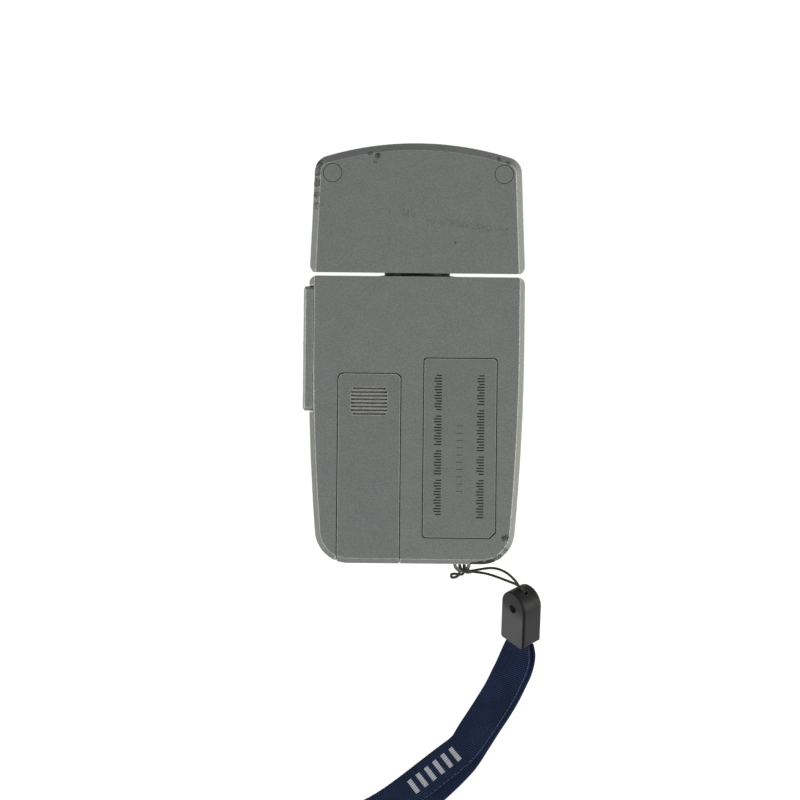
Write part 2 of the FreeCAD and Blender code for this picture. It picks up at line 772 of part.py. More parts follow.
def make_neck_bush():
    sleeve = neck_disc(BUSH_R, -3.1, BUSH_OUT)
    flange = neck_disc(RIM_R, -3.1, -WALL - 0.05).common(flats(-4, 0))
    return join([sleeve, flange]).cut(neck_disc(SPIGOT_R + RUNNING, -5, 2))


def make_neck_shim():
    """The pale ring between body and head, round the bush."""
    return neck_ring(SHIM_R, BUSH_R + 0.02, 0.01, SHIM_T)


def make_neck_washer():
    return neck_ring(RIM_R - 0.3, SPIGOT_R + 0.1, -3.75, -3.15).common(flats(-5, 0))


def make_neck_spigot():
    shaft = neck_disc(SPIGOT_R, -6.4, BUSH_OUT + 0.1)
    collar = neck_disc(COLLAR_R, BUSH_OUT + 0.1, HEAD_GAP + WALL + 0.1)
    flange = neck_disc(RIM_R, HEAD_GAP + WALL + 0.05, HEAD_GAP + WALL + 1.5).common(flats(0, 9))
    spigot = join([shaft, collar, flange]).cut(neck_disc(SPIGOT_BORE_R, -9, 9))
    return spigot.cut(neck_ring(SPIGOT_R + 1, SPIGOT_R - 0.6, -4.75, -3.8))


def make_neck_clip():
    ring = neck_ring(9.8, SPIGOT_R - 0.58, -4.7, -3.85)
    return ring.cut(box(-1.5, 1.5, -6, -3, 0, AXIS_Z))


def make_sensor_cable():
    r = 1.4
    bend = 3.0
    level = Part.makeCylinder(r, 18.0, Vector(0, -6.6, AXIS_Z), Vector(0, 1, 0))
    ring = Part.makeTorus(bend, r, Vector(0, -6.6, AXIS_Z - bend), Vector(1, 0, 0))
    elbow = ring.common(box(-3, 3, -12, -6.6, AXIS_Z - bend, AXIS_Z + 3))
    drop = Part.makeCylinder(r, AXIS_Z - bend - 6.8, Vector(0, -6.6 - bend, 6.8))
    return join([level, elbow, drop])


# Head


def make_head_rear_shell():
    shell = head_back_solid()
    cavity_h = CASE_T - BACK_PLATE - PARTING_Z
    shell = shell.cut(prism(head_outline(PARTING_Z - 0.01, WALL, WALL, WALL), cavity_h + 0.01))
    inside = [shell]
    inner = prism(head_outline(PARTING_Z, 1.0, 1.0, 1.0), CASE_T - PARTING_Z - 1)
    for x, y in HEAD_SCREWS:
        inside.append(disc(BOSS_R, x, y, PARTING_Z, CASE_T - BACK_PLATE).common(inner))
    for x in (-9, 9):
        inside.append(disc(1.5, x, DISH_Y, 16.2, CASE_T - BACK_PLATE))
    shell = join(inside)
    cuts = [
        screw_holes(HEAD_SCREWS),
        screw_counterbores(HEAD_SCREWS, CASE_T - 1),
        neck_disc(COLLAR_R + RUNNING, 0, HEAD_GAP + WALL + 1),
    ]
    for x, y in HEAD_SCREWS:
        cuts.append(disc(PLUG_R + PLUG_GAP, x, y, CASE_T - PLUG_T - 0.05, CASE_T + 1))
    for cut in cuts:
        shell = shell.cut(cut)
    return shell


def bayonet_notches(r, z0, z1, turn):
    """Sectors of a ring, one for each bayonet lug, turned on by a number of degrees."""
    sectors = []
    for i in range(LUG_COUNT):
        sector = Part.makeCylinder(r, z1 - z0, Vector(0, 0, z0), Vector(0, 0, 1), 30)
        sector.rotate(Vector(0, 0, 0), Vector(0, 0, 1), i * 360 / LUG_COUNT + turn)
        sector.translate(Vector(0, DISH_Y, 0))
        sectors.append(sector)
    return join(sectors)


def make_head_front_shell():
    shell = head_front_solid()
    cavity = prism(head_outline(FRONT_PLATE, WALL, WALL, WALL), PARTING_Z - FRONT_PLATE + 0.01)
    shell = shell.cut(cavity)
    inner = prism(head_outline(1, 1.0, 1.0, 1.0), PARTING_Z - 1)
    floor_top = DISH_FLOOR_Z + DISH_FLOOR_T
    inside = [shell, disc(DISH_R + DISH_WALL, 0, DISH_Y, 1.0, floor_top).common(inner)]
    for x, y in HEAD_SCREWS:
        inside.append(disc(BOSS_R - 0.6, x, y, FRONT_PLATE, PARTING_Z).common(inner))
    shell = join(inside)
    mouth = Part.makeCone(DISH_R + 0.6, DISH_R, 1.0, Vector(0, DISH_Y, -0.01))
    cuts = [
        mouth,
        disc(DISH_R, 0, DISH_Y, -1, DISH_FLOOR_Z),
        disc(THROAT_R, 0, DISH_Y, 0, floor_top + 1),
        bayonet_notches(RING_R + 0.1, 0, floor_top + 1, 50),
        screw_holes(HEAD_SCREWS),
        neck_disc(COLLAR_R + RUNNING, 0, HEAD_GAP + WALL + 1),
    ]
    for cut in cuts:
        shell = shell.cut(cut)
    return shell


def dome_sphere(inset):
    rise = DOME_BASE_Z - DOME_CROWN_Z
    r = (DOME_R ** 2 + rise ** 2) / (2 * rise)
    return Part.makeSphere(r - inset, Vector(0, DISH_Y, DOME_CROWN_Z + r))


def make_dome():
    cap = dome_sphere(0).common(disc(20, 0, DISH_Y, 0, DOME_BASE_Z))
    flange = disc(DOME_R + 1.0, 0, DISH_Y, 7.0, 7.7)
    return join([cap, flange]).cut(dome_sphere(DOME_WALL)).common(disc(20, 0, DISH_Y, 0, 7.7))


def make_dome_ring():
    low = 5.2
    ring = disc(RING_R, 0, DISH_Y, low, 7.8)
    rim = [e for e in ring.Edges if e.BoundBox.ZMax < low + 0.01]
    ring = ring.makeFillet(0.8, rim)
    throat = disc(THROAT_R - 0.08, 0, DISH_Y, 7.7, 9.7)
    lugs = bayonet_notches(RING_R - 0.1, 9.05, 9.7, 5)
    ring = join([ring, throat, lugs])
    ring = ring.cut(disc(DOME_R + 0.1, 0, DISH_Y, 0, 7.0))
    ring = ring.cut(disc(DOME_R + 1.05, 0, DISH_Y, 6.95, 12))
    for i in range(24):
        flute = disc(0.45, RING_R + 0.15, 0, 0, 6.9)
        flute.rotate(Vector(0, 0, 0), Vector(0, 0, 1), i * 15)
        flute.translate(Vector(0, DISH_Y, 0))
        ring = ring.cut(flute)
    return ring


def make_sensor_housing():
    return tube(7.8, 6.5, 0, DISH_Y, 10.0, 15.0)


def make_filter_glass():
    return disc(6.45, 0, DISH_Y, 10.2, 11.2)


def make_photodiode():
    can = disc(4.1, 0, DISH_Y, 12.4, 14.8)
    return join([can, disc(4.6, 0, DISH_Y, 14.6, 15.0)])


def make_sensor_board():
    return rounded_block(-12, 12, DISH_Y - 10, DISH_Y + 10, 15.0, 16.2, 1.5)


# Wrist strap


def clip_point(u, v, w):
    """A point in the clip's own axes: across its width, into its depth and up from its foot."""
    return CLIP_FOOT + CLIP_WIDTH_AXIS * u + CLIP_DEPTH_AXIS * v + CLIP_LONG_AXIS * w


def clip_placed(shape):
    """Turns a shape drawn with X across the clip, Y into its depth and Z along it."""
    turn = FreeCAD.Rotation(CLIP_WIDTH_AXIS, CLIP_DEPTH_AXIS, CLIP_LONG_AXIS, "ZYX")
    placed = shape.copy()
    placed.Placement = FreeCAD.Placement(CLIP_FOOT, turn)
    return placed


def strap_clip_blank():
    half = CLIP_W / 2
    block = box(-half, half, -CLIP_D / 2, CLIP_D / 2, 0, CLIP_STRAIGHT)
    arch = Part.makeCylinder(half, CLIP_D, Vector(0, -CLIP_D / 2, CLIP_STRAIGHT), Vector(0, 1, 0))
    return join([block, arch])


def make_strap_clip():
    clip = strap_clip_blank()
    feet = [e for e in clip.Edges if e.BoundBox.ZMax < 0.01 and e.BoundBox.XLength < 0.1]
    clip = clip.makeChamfer(0.9, feet)
    depth = CLIP_D / 2
    rims = [e for e in clip.Edges if e.BoundBox.ZMin > 0.8 and e.BoundBox.YLength < 0.1]
    clip = clip.makeFillet(0.7, rims)
    hole_start = Vector(0, -depth - 1, CLIP_STRAIGHT - 0.4)
    hole = Part.makeCylinder(CLIP_HOLE_R, CLIP_D + 2, hole_start, Vector(0, 1, 0))
    slot = box(-2.2, 2.2, -0.75, 0.75, PIN_W - 2.1, CLIP_STRAIGHT + CLIP_W)
    pin = Part.makeCylinder(PIN_R, 2.0, Vector(0, -1.0, PIN_W), Vector(0, 1, 0))
    mouth = box(-MOUTH_W / 2, MOUTH_W / 2, -STRAP_T / 2 - 0.05, STRAP_T / 2 + 0.05, -1, MOUTH_DEPTH)
    clip = clip.cut(hole).cut(slot).fuse(pin).cut(mouth)
    return clip_placed(clip.removeSplitter())


def cord_points():
    """The thin cord's loop, from the knot out to the clip's pin and back."""
    turn = PIN_R + CORD_R + 0.05
    return [
        Vector(17.6, -89.5, 14.6),
        Vector(20.6, -88.9, 14.8),
        Vector(24.4, -88.4, 15.1),
        Vector(28.2, -89.7, 15.8),
        Vector(31.2, -92.5, 16.2),
        clip_point(-turn, 0, PIN_W + 1.6),
        clip_point(-turn, 0, PIN_W - 1.1),
        clip_point(turn, 0, PIN_W - 1.1),
        clip_point(turn, 0, PIN_W + 1.6),
        Vector(31.9, -93.7, 14.6),
        Vector(28.8, -92.6, 14.1),
        Vector(25.0, -91.2, 13.7),
        Vector(21.2, -90.1, 13.4),
        Vector(17.9, -89.9, 13.1),
    ]


def bent_tube(points, radius, label):
    """Straight runs joined by tangent arcs, swept with a round section. Prints each arc's radius."""
    edges = []
    at = points[0]
    length = 0.0
    radii = []
    for i in range(1, len(points) - 1):
        back = points[i - 1] - points[i]
        on = points[i + 1] - points[i]
        shorter = min(back.Length, on.Length)
        turn = math.pi - back.getAngle(on)
        cut = 0.45 * shorter
        bend = cut / math.tan(turn / 2)
        radii.append(round(bend, 2))
        back.normalize()
        on.normalize()
        start = points[i] + back * cut
        end = points[i] + on * cut
        toward = back + on
        toward.normalize()
        centre = points[i] + toward * (bend / math.cos(turn / 2))
        middle = centre - toward * bend
        edges.append(line(at, start))
        edges.append(Part.Arc(start, middle, end).toShape())
        length += (start - at).Length + bend * turn
        at = end
    edges.append(line(at, points[-1]))
    length += (points[-1] - at).Length
    path = Part.Wire(edges)
    ahead = points[1] - points[0]
    section = Part.Wire(Part.makeCircle(radius, points[0], ahead))
    solid = path.makePipeShell([section], True, False)
    expected = math.pi * radius ** 2 * length
    print(label, "length", round(length, 1), "radii", radii)
    print(label, "volume", round(solid.Volume, 2), "section times length", round(expected, 2))
    return solid


def make_knot(cord):
    """The hitch that holds the cord to the lug: two turns round the lug's end, a bight and a link."""
    turns = []
    end_y = -BODY_LEN - LUG_OUT + LUG_WALL / 2
    for x in (LUG_X - 0.75, LUG_X + 0.75):
        turns.append(Part.makeTorus(1.7, CORD_R, Vector(x, end_y, LUG_Z), Vector(1, 0, 0)))
    bight = Part.makeTorus(1.1, CORD_R, Vector(LUG_X - 1.9, end_y - 1.3, LUG_Z + 0.3), Vector(0.2, 0, 1))
    link_start = Vector(LUG_X - 1.1, end_y - 0.6, LUG_Z + 1.9)
    link = Part.makeCylinder(CORD_R, 4.15, link_start, Vector(4.1, 0.7, -1))
    return join(turns + [bight, link]).cut(make_strap_lug()).cut(cord)


def strap_section(place, lean, width, ahead):
    """The strap's cross-section at one point of its mid line."""
    across = Vector(-ahead.y, ahead.x, 0)
    across.normalize()
    lift = ahead.cross(across)
    angle = math.radians(lean)
    out = across * math.cos(angle) + lift * math.sin(angle)
    normal = ahead.cross(out)
    half_w = out * (width / 2)
    half_t = normal * (STRAP_T / 2)
    corners = [
        place - half_w - half_t,
        place + half_w - half_t,
        place + half_w + half_t,
        place - half_w + half_t,
    ]
    return Part.makePolygon(corners + [corners[0]])


def make_strap_band():
    places = [Vector(*place) for place, _, _ in STRAP_ROUTE]
    sections = []
    run_volume = 0.0
    length = 0.0
    for i, (_, lean, width) in enumerate(STRAP_ROUTE):
        ahead = places[min(i + 1, len(places) - 1)] - places[max(i - 1, 0)]
        if i == 1:
            ahead = places[1] - places[0]
        ahead.normalize()
        sections.append(strap_section(places[i], lean, width, ahead))
        if i:
            run = (places[i] - places[i - 1]).Length
            length += run
            run_volume += run * STRAP_T * (width + STRAP_ROUTE[i - 1][2]) / 2
    band = Part.makeLoft(sections, True, True)
    print("strap length", round(length, 1), "volume", round(band.Volume, 1))
    print("strap section times length", round(run_volume, 1))
    return band


PARTS = {
    "rear_shell": make_rear_shell,
    "front_shell": make_front_shell,
    "rating_plate": make_rating_plate,
    "lcd_window": make_lcd_window,
    "lcd_glass": make_lcd_glass,
    "lcd_frame": make_lcd_frame,
    "lcd_connectors": make_lcd_connectors,
    "main_board": make_main_board,
    "board_parts": make_board_parts,
    "key_mat": make_key_mat,
    "measure_bar": make_measure_bar,
    "measure_switch": make_switch,
    "switch_plunger": make_plunger,
    "battery_door": make_battery_door,
    "aa_cell": make_aa_cell,
    "plus_contact": make_plus_contact,
    "minus_contact": make_minus_contact,
    "battery_spring": make_battery_spring,
    "case_screws": lambda: make_screws(BODY_SCREWS),
    "sync_socket": make_sync_socket,
    "sync_contact": make_sync_contact,
    "strap_lug": make_strap_lug,
    "neck_bush": make_neck_bush,
    "neck_shim": make_neck_shim,
    "neck_washer": make_neck_washer,
    "neck_spigot": make_neck_spigot,
    "neck_clip": make_neck_clip,
    "sensor_cable": make_sensor_cable,
    "head_rear_shell": make_head_rear_shell,
    "head_front_shell": make_head_front_shell,
    "head_screws": lambda: make_screws(HEAD_SCREWS),
    "head_screw_plugs": make_plugs,
    "dome": make_dome,
    "dome_ring": make_dome_ring,
    "sensor_housing": make_sensor_housing,
    "filter_glass": make_filter_glass,
    "photodiode": make_photodiode,
    "sensor_board": make_sensor_board,
    "strap_clip": make_strap_clip,
    "strap_band": make_strap_band,
}

lanyard_cord = bent_tube(cord_points(), CORD_R, "lanyard cord")
save("lanyard_cord", lanyard_cord)
save("lanyard_knot", make_knot(lanyard_cord))
for part_name, maker in PARTS.items():
    save(part_name, maker())
for key_name, (key_x, key_y) in KEYS.items():
    save(key_name, make_key(key_x, key_y))
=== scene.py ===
"""Looks of the handheld light meter, lying on its face with its wrist strap, seen from straight above."""

import json
import math

import bpy
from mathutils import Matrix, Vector


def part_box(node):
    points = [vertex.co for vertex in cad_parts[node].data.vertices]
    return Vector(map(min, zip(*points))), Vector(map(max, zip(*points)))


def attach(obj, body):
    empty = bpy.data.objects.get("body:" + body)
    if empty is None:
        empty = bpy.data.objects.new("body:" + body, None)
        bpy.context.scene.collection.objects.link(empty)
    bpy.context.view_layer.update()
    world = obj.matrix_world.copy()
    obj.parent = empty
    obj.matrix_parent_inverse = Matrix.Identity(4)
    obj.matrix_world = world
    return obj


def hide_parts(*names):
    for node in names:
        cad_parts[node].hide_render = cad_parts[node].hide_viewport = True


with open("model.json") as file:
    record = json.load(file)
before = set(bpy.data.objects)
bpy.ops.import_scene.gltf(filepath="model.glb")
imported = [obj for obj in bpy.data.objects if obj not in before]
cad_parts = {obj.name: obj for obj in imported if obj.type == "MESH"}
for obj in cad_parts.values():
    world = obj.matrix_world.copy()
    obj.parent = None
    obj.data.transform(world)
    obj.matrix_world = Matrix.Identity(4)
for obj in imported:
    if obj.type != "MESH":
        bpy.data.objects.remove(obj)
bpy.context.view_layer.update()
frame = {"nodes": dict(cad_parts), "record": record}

MM = 0.001
SHIFT = Vector((0.85, 24.775, 0.0))  # from the case's own axes to the row frame, in mm


def at(x, y, z):
    """A point given in the case's axes and millimetres, in the row frame and metres."""
    return (Vector((x, y, z)) + SHIFT) * MM


# Camera, straight above the back

CAMERA_LENS = 133.7
CAMERA_PLACE = (-4.89, -37.47, 924)
CAMERA_TURN = 0.0105


def make_camera():
    """The camera, which looks straight down at the meter's back."""
    data = bpy.data.cameras.new("camera")
    data.lens = CAMERA_LENS
    data.clip_start = 0.05
    data.clip_end = 20
    camera = bpy.data.objects.new("camera", data)
    camera.location = at(*CAMERA_PLACE)
    camera.rotation_euler = (0, 0, CAMERA_TURN)
    bpy.context.scene.collection.objects.link(camera)
    bpy.context.scene.camera = camera


# Cords, strap and hitch: routes in the case's axes and millimetres

CORD_D = 0.9
BRAID_STRANDS = 8
BRAID_PITCH = 2.6
PIN_TURN = 1.1  # from the middle of the clip's pin to the cord that turns round it
PIN_W = 17.0  # from the clip's foot up to its pin
CLIP_FOOT = Vector((33.05, -110.7, 5.6))
CLIP_HALF_W = 5.2
CLIP_HALF_D = 3.7
CLIP_WIDTH_AXIS = Vector((0.653, -0.405, 0.638))
CLIP_DEPTH_AXIS = Vector((0.757, 0.349, -0.55))
CLIP_LONG_AXIS = Vector((0.0, 0.844, 0.536))


def clip_point(u, v, w):
    """A point in the clip's own axes: across its width, into its depth and up from its foot."""
    return CLIP_FOOT + CLIP_WIDTH_AXIS * u + CLIP_DEPTH_AXIS * v + CLIP_LONG_AXIS * w


CORD_ROUTE = [
    (17.6, -89.5, 14.6),
    (20.6, -88.9, 14.8),
    (24.4, -88.4, 15.1),
    (28.2, -89.7, 15.8),
    (31.2, -92.5, 16.2),
    clip_point(-PIN_TURN, 0, PIN_W + 1.6),
    clip_point(-PIN_TURN, 0, PIN_W - 1.1),
    clip_point(PIN_TURN, 0, PIN_W - 1.1),
    clip_point(PIN_TURN, 0, PIN_W + 1.6),
    (31.9, -93.7, 14.6),
    (28.8, -92.6, 14.1),
    (25.0, -91.2, 13.7),
    (21.2, -90.1, 13.4),
    (17.9, -89.9, 13.1),
]

# Middle of the upper layer, middle of the lower layer, height of the line between them,
# lean of the width out of level in degrees, width of each layer
STRAP_ROUTE = [
    ((33.05, -107.32), (33.05, -107.32), 7.74, 49.1, 9.4),
    ((33.05, -110.90), (33.05, -110.90), 5.49, 49.1, 9.5),
    ((32.60, -113.20), (33.20, -113.30), 5.20, 38.0, 10.2),
    ((32.00, -116.20), (32.95, -116.40), 4.85, 22.0, 10.4),
    ((30.65, -119.95), (31.80, -120.55), 4.40, 11.0, 10.5),
    ((29.45, -122.40), (30.60, -123.05), 4.10, 7.0, 10.5),
    ((27.35, -127.00), (28.55, -127.70), 3.50, 4.0, 10.5),
    ((24.30, -132.15), (25.60, -132.90), 2.90, 3.0, 10.5),
    ((21.40, -136.80), (22.60, -137.50), 2.35, 2.0, 10.5),
    ((18.45, -141.30), (19.90, -142.10), 2.00, 2.0, 10.4),
    ((16.60, -144.30), (18.50, -144.80), 1.85, 2.0, 9.9),
    ((14.60, -146.35), (17.00, -147.10), 1.75, 2.0, 10.1),
    ((12.10, -148.40), (14.90, -149.80), 1.62, 2.0, 10.4),
    ((6.20, -153.10), (9.40, -155.40), 1.34, 1.0, 10.5),
    ((-1.00, -158.80), (2.60, -161.60), 1.14, 0.0, 10.4),
    ((-8.60, -164.30), (-6.00, -167.20), 1.05, 0.0, 10.3),
    ((-19.40, -169.80), (-18.40, -172.60), 1.05, 0.0, 10.2),
    ((-31.90, -174.00), (-31.30, -176.40), 1.05, 0.0, 10.2),
    ((-45.70, -176.20), (-45.50, -178.20), 1.05, 0.0, 10.2),
    ((-59.90, -176.00), (-60.10, -177.60), 1.05, 0.0, 10.2),
    ((-78.10, -172.50), (-78.30, -173.70), 1.05, 0.0, 10.2),
]


def spline_points(points, steps):
    """Points along the open NURBS spline that has these control points."""
    data = bpy.data.curves.new("route", "CURVE")
    data.dimensions = "3D"
    data.resolution_u = steps
    spline = data.splines.new("NURBS")
    spline.points.add(len(points) - 1)
    for point, place in zip(spline.points, points):
        point.co = (*place, 1)
    spline.order_u = 3
    spline.use_endpoint_u = True
    holder = bpy.data.objects.new("route", data)
    bpy.context.scene.collection.objects.link(holder)
    bpy.context.view_layer.update()
    evaluated = holder.evaluated_get(bpy.context.evaluated_depsgraph_get())
    mesh = bpy.data.meshes.new_from_object(evaluated)
    found = [Vector(v.co) for v in mesh.vertices]
    bpy.data.objects.remove(holder)
    bpy.data.curves.remove(data)
    bpy.data.meshes.remove(mesh)
    return found


def lengths_along(points):
    """Distance from the first point to each point, along them."""
    total = [0.0]
    for a, b in zip(points, points[1:]):
        total.append(total[-1] + (b - a).length)
    return total


def new_mesh(name, verts, faces, body, smooth=True):
    """A new piece that rides on this body."""
    mesh = bpy.data.meshes.new(name)
    mesh.from_pydata([tuple(v) for v in verts], [], faces)
    mesh.validate()
    if smooth:
        mesh.polygons.foreach_set("use_smooth", [True] * len(mesh.polygons))
    piece = bpy.data.objects.new(name, mesh)
    bpy.context.scene.collection.objects.link(piece)
    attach(piece, body)
    return piece


def add_to(verts, faces, more):
    """Adds another mesh's vertices and faces to these."""
    more_verts, more_faces = more
    faces.extend(tuple(len(verts) + v for v in face) for face in more_faces)
    verts.extend(more_verts)


def tangent(points, i):
    """Direction of the line at one of its points."""
    ahead = points[min(i + 1, len(points) - 1)] - points[max(i - 1, 0)]
    return ahead.normalized()


def rings_to_faces(ring_count, ring_size):
    """Quads between closed rings, with a cap on each end."""
    faces = []
    for i in range(ring_count - 1):
        for j in range(ring_size):
            a = i * ring_size + j
            b = i * ring_size + (j + 1) % ring_size
            faces.append((a, b, b + ring_size, a + ring_size))
    faces.append(tuple(reversed(range(ring_size))))
    last = (ring_count - 1) * ring_size
    faces.append(tuple(last + j for j in range(ring_size)))
    return faces


def axes_along(points):
    """At each point, two directions square to the line, which turn as little as they can."""
    axes = []
    side = tangent(points, 0).orthogonal().normalized()
    for i in range(len(points)):
        ahead = tangent(points, i)
        side = (side - ahead * side.dot(ahead)).normalized()
        axes.append((side.copy(), ahead.cross(side)))
    return axes


def round_point(place, axes, radius, angle):
    """The point at this radius and angle round a line's point."""
    side, other = axes
    return place + side * (radius * math.cos(angle)) + other * (radius * math.sin(angle))


def tube_along(points, radius, sides=8):
    """Vertices and faces of a round tube along these points."""
    verts = []
    for place, axes in zip(points, axes_along(points)):
        for j in range(sides):
            verts.append(round_point(place, axes, radius, 2 * math.pi * j / sides))
    return verts, rings_to_faces(len(points), sides)


STRAND_SHARE = 0.15  # a strand's radius, as a share of the braid's diameter
STRAND_WAVE = 0.35  # how far a strand rises and sinks where it crosses the others


def braid_along(points, diameter):
    """A round braid: half the strands wind one way and half the other, over one and under one."""
    verts = []
    faces = []
    stations = list(zip(points, axes_along(points), lengths_along(points)))
    pairs = BRAID_STRANDS / 2
    strand_r = diameter * STRAND_SHARE
    middle_r = diameter / 2 - strand_r
    for k in range(BRAID_STRANDS):
        way = 1 if k % 2 else -1
        line = []
        for place, axes, distance in stations:
            turned = 2 * math.pi * distance / (BRAID_PITCH * MM)
            wave = way * math.cos(pairs * turned)
            radius = middle_r + (wave - 1) * strand_r * STRAND_WAVE
            line.append(round_point(place, axes, radius, way * turned + 2 * math.pi * (k // 2) / pairs))
        add_to(verts, faces, tube_along(line, strand_r, 6))
    add_to(verts, faces, tube_along(points, middle_r - strand_r * 0.2, 8))
    return verts, faces


def make_lanyard_cord():
    """The thin cord: a loop of two strands from the hitch round the clip's pin."""
    route = spline_points([at(*p) for p in CORD_ROUTE], 16)
    verts, faces = braid_along(route, CORD_D * MM)
    piece = new_mesh("lanyard_cord_braid", verts, faces, "case")
    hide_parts("lanyard_cord")
    return piece


LAYER_T = 0.92
LAYER_GAP = 0.06
RIB_PITCH = 0.62
RIB_H = 0.035
LOOP_PITCH = 0.55  # weft loops along the webbing's edge
LOOP_REACH = 0.07
EDGE_POWER = 14  # the higher, the squarer the webbing's edges
RIB_SHARE = 0.6  # of the relief, from the lengthwise ribs
TWILL_SHARE = 0.4
WEBBING_COLUMNS = 34
FOLD_STEPS = 10
ROUTE_STEPS = 24


def strap_rows():
    """Along each layer: its middle, width direction, upward normal and width, upper layer first."""
    leans = spline_points([(lean, width, 0) for _, _, _, lean, width in STRAP_ROUTE], ROUTE_STEPS)
    layers = []
    for which in (0, 1):
        middles = spline_points([at(*row[which], row[2]) for row in STRAP_ROUTE], ROUTE_STEPS)
        side = (1 if which == 0 else -1) * (LAYER_T + LAYER_GAP) / 2 * MM
        rows = []
        for i, place in enumerate(middles):
            ahead = tangent(middles, i)
            across = Vector((-ahead.y, ahead.x, 0)).normalized()
            lift = ahead.cross(across)
            angle = math.radians(leans[i].x)
            out = across * math.cos(angle) + lift * math.sin(angle)
            up = ahead.cross(out)
            rows.append((place + up * side, out, up, leans[i].y * MM))
        layers.append(rows)
    return layers


def ribbon_row(place, out, up, width, travel):
    """One closed ring of a woven layer: its upper side from edge to edge, then its lower side back.

    Each point's mark is its place across, its place along, and 1 on the outer side."""
    ring = []
    marks = []
    loops = abs(math.sin(math.pi * travel / (LOOP_PITCH * MM))) * LOOP_REACH * MM
    for side in (1, -1):
        for j in range(WEBBING_COLUMNS + 1):
            share = (j / WEBBING_COLUMNS * 2 - 1) * side
            u = share * (width / 2 - LOOP_REACH * MM + loops)
            roundness = max(0.0, 1 - abs(share) ** EDGE_POWER) ** 0.5
            rib = abs(math.sin(math.pi * u / (RIB_PITCH * MM)))
            twill = math.sin(math.pi * (travel + u) / (RIB_PITCH * MM))
            relief = RIB_H * MM * (rib * RIB_SHARE + twill * TWILL_SHARE - 0.5)
            height = LAYER_T / 2 * MM + relief
            ring.append(place + out * u + up * (height * roundness * side))
            marks.append((u, travel, max(side, 0)))
    return ring, marks


def folded_line(upper, lower, route):
    """Rows out along the upper layer, round the fold and back along the lower one."""
    travel = lengths_along(route)
    total = travel[-1]
    half = (LAYER_T + LAYER_GAP) / 2 * MM
    line = [(*row, distance) for row, distance in zip(upper, travel)]
    top, out, up, width = upper[-1]
    slide = (lower[-1][0] - top) / 2 + up * half
    ahead = tangent(route, len(route) - 1)
    for k in range(1, FOLD_STEPS):
        angle = math.pi * k / FOLD_STEPS
        turned_up = up * math.cos(angle) + ahead * math.sin(angle)
        place = route[-1] + turned_up * half - slide * math.cos(angle)
        line.append((place, out, turned_up, width, total + half * angle))
    for (place, out, up, width), distance in reversed(list(zip(lower, travel))):
        line.append((place, out, -up, width, 2 * total + half * math.pi - distance))
    return line


def make_strap(upper, lower):
    """The wrist strap, with its weaving's places kept as attributes for the material."""
    route = [(a[0] + b[0]) / 2 for a, b in zip(upper, lower)]
    line = folded_line(upper, lower, route)
    verts = []
    marks = []
    for row in line:
        ring, ring_marks = ribbon_row(*row)
        verts += ring
        marks += ring_marks
    faces = rings_to_faces(len(line), 2 * (WEBBING_COLUMNS + 1))
    piece = new_mesh("strap_webbing", verts, faces, "case")
    for name, values in zip(("across", "along", "outer"), zip(*marks)):
        attribute = piece.data.attributes.new(name, "FLOAT", "POINT")
        attribute.data.foreach_set("value", values)
    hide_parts("strap_band")
    return piece


THREAD_R = 0.1
THREAD_INSET = 0.42
FIRST_STITCH_ROW = 10
ROWS_PER_STITCH = 5


def make_selvedge(upper):
    """The pale thread stitched along the upper layer's outer edge, as short floats."""
    verts = []
    faces = []
    for i in range(FIRST_STITCH_ROW, len(upper) - ROWS_PER_STITCH, ROWS_PER_STITCH):
        line = []
        for place, out, up, width in upper[i:i + ROWS_PER_STITCH - 1]:
            line.append(place + out * (width / 2 - THREAD_INSET * MM) + up * (LAYER_T / 2 * MM))
        add_to(verts, faces, tube_along(line, THREAD_R * MM, 5))
    piece = new_mesh("selvedge_thread", verts, faces, "case")
    return piece


HITCH_ROUTE = [
    (17.6, -89.5, 14.6),
    (16.6, -89.4, 15.4),
    (15.5, -89.1, 15.7),
    (15.35, -87.7, 15.2),
    (15.3, -87.3, 13.6),
    (15.3, -87.7, 11.9),
    (15.2, -89.7, 11.6),
    (15.0, -90.8, 12.4),
    (13.9, -90.7, 14.0),
    (12.2, -90.4, 14.9),
    (11.2, -90.7, 14.5),
    (11.5, -91.8, 14.2),
    (13.0, -91.5, 13.9),
    (13.9, -90.8, 13.0),
    (13.9, -90.4, 11.9),
    (13.9, -88.7, 11.6),
    (13.9, -87.3, 12.4),
    (13.9, -87.2, 14.4),
    (14.0, -88.3, 15.5),
    (14.8, -89.5, 15.9),
    (16.4, -90.2, 15.0),
    (17.9, -89.9, 13.1),
]


def make_knot():
    """The hitch that ties the cord to the lug: two turns, a bight and a link."""
    route = spline_points([at(*p) for p in HITCH_ROUTE], 12)
    verts, faces = braid_along(route, CORD_D * MM)
    piece = new_mesh("lanyard_hitch", verts, faces, "case")
    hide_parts("lanyard_knot")
    return piece


# Battery spring, printed marks and signs

SPRING_WIRE_R = 0.28
SPRING_MARGIN = 0.3  # from the end of the spring's space to the middle of its wire
SPRING_TURNS = 4
SPRING_STEPS = 28 * SPRING_TURNS
SPRING_TAPER = 0.42


def make_spring():
    """The battery's conical minus spring."""
    low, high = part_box("battery_spring")
    middle = (low + high) / 2
    wide = (high.x - low.x) / 2 - SPRING_MARGIN * MM
    line = []
    for i in range(SPRING_STEPS + 1):
        share = i / SPRING_STEPS
        angle = 2 * math.pi * SPRING_TURNS * share
        r = wide * (1 - SPRING_TAPER * share)
        y = low.y + SPRING_MARGIN * MM + (high.y - low.y - 2 * SPRING_MARGIN * MM) * share
        line.append(Vector((middle.x + r * math.cos(angle), y, middle.z + r * math.sin(angle))))
    verts, faces = tube_along(line, SPRING_WIRE_R * MM, 8)
    piece = new_mesh("contact_spring", verts, faces, "case")
    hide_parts("battery_spring")
    return piece


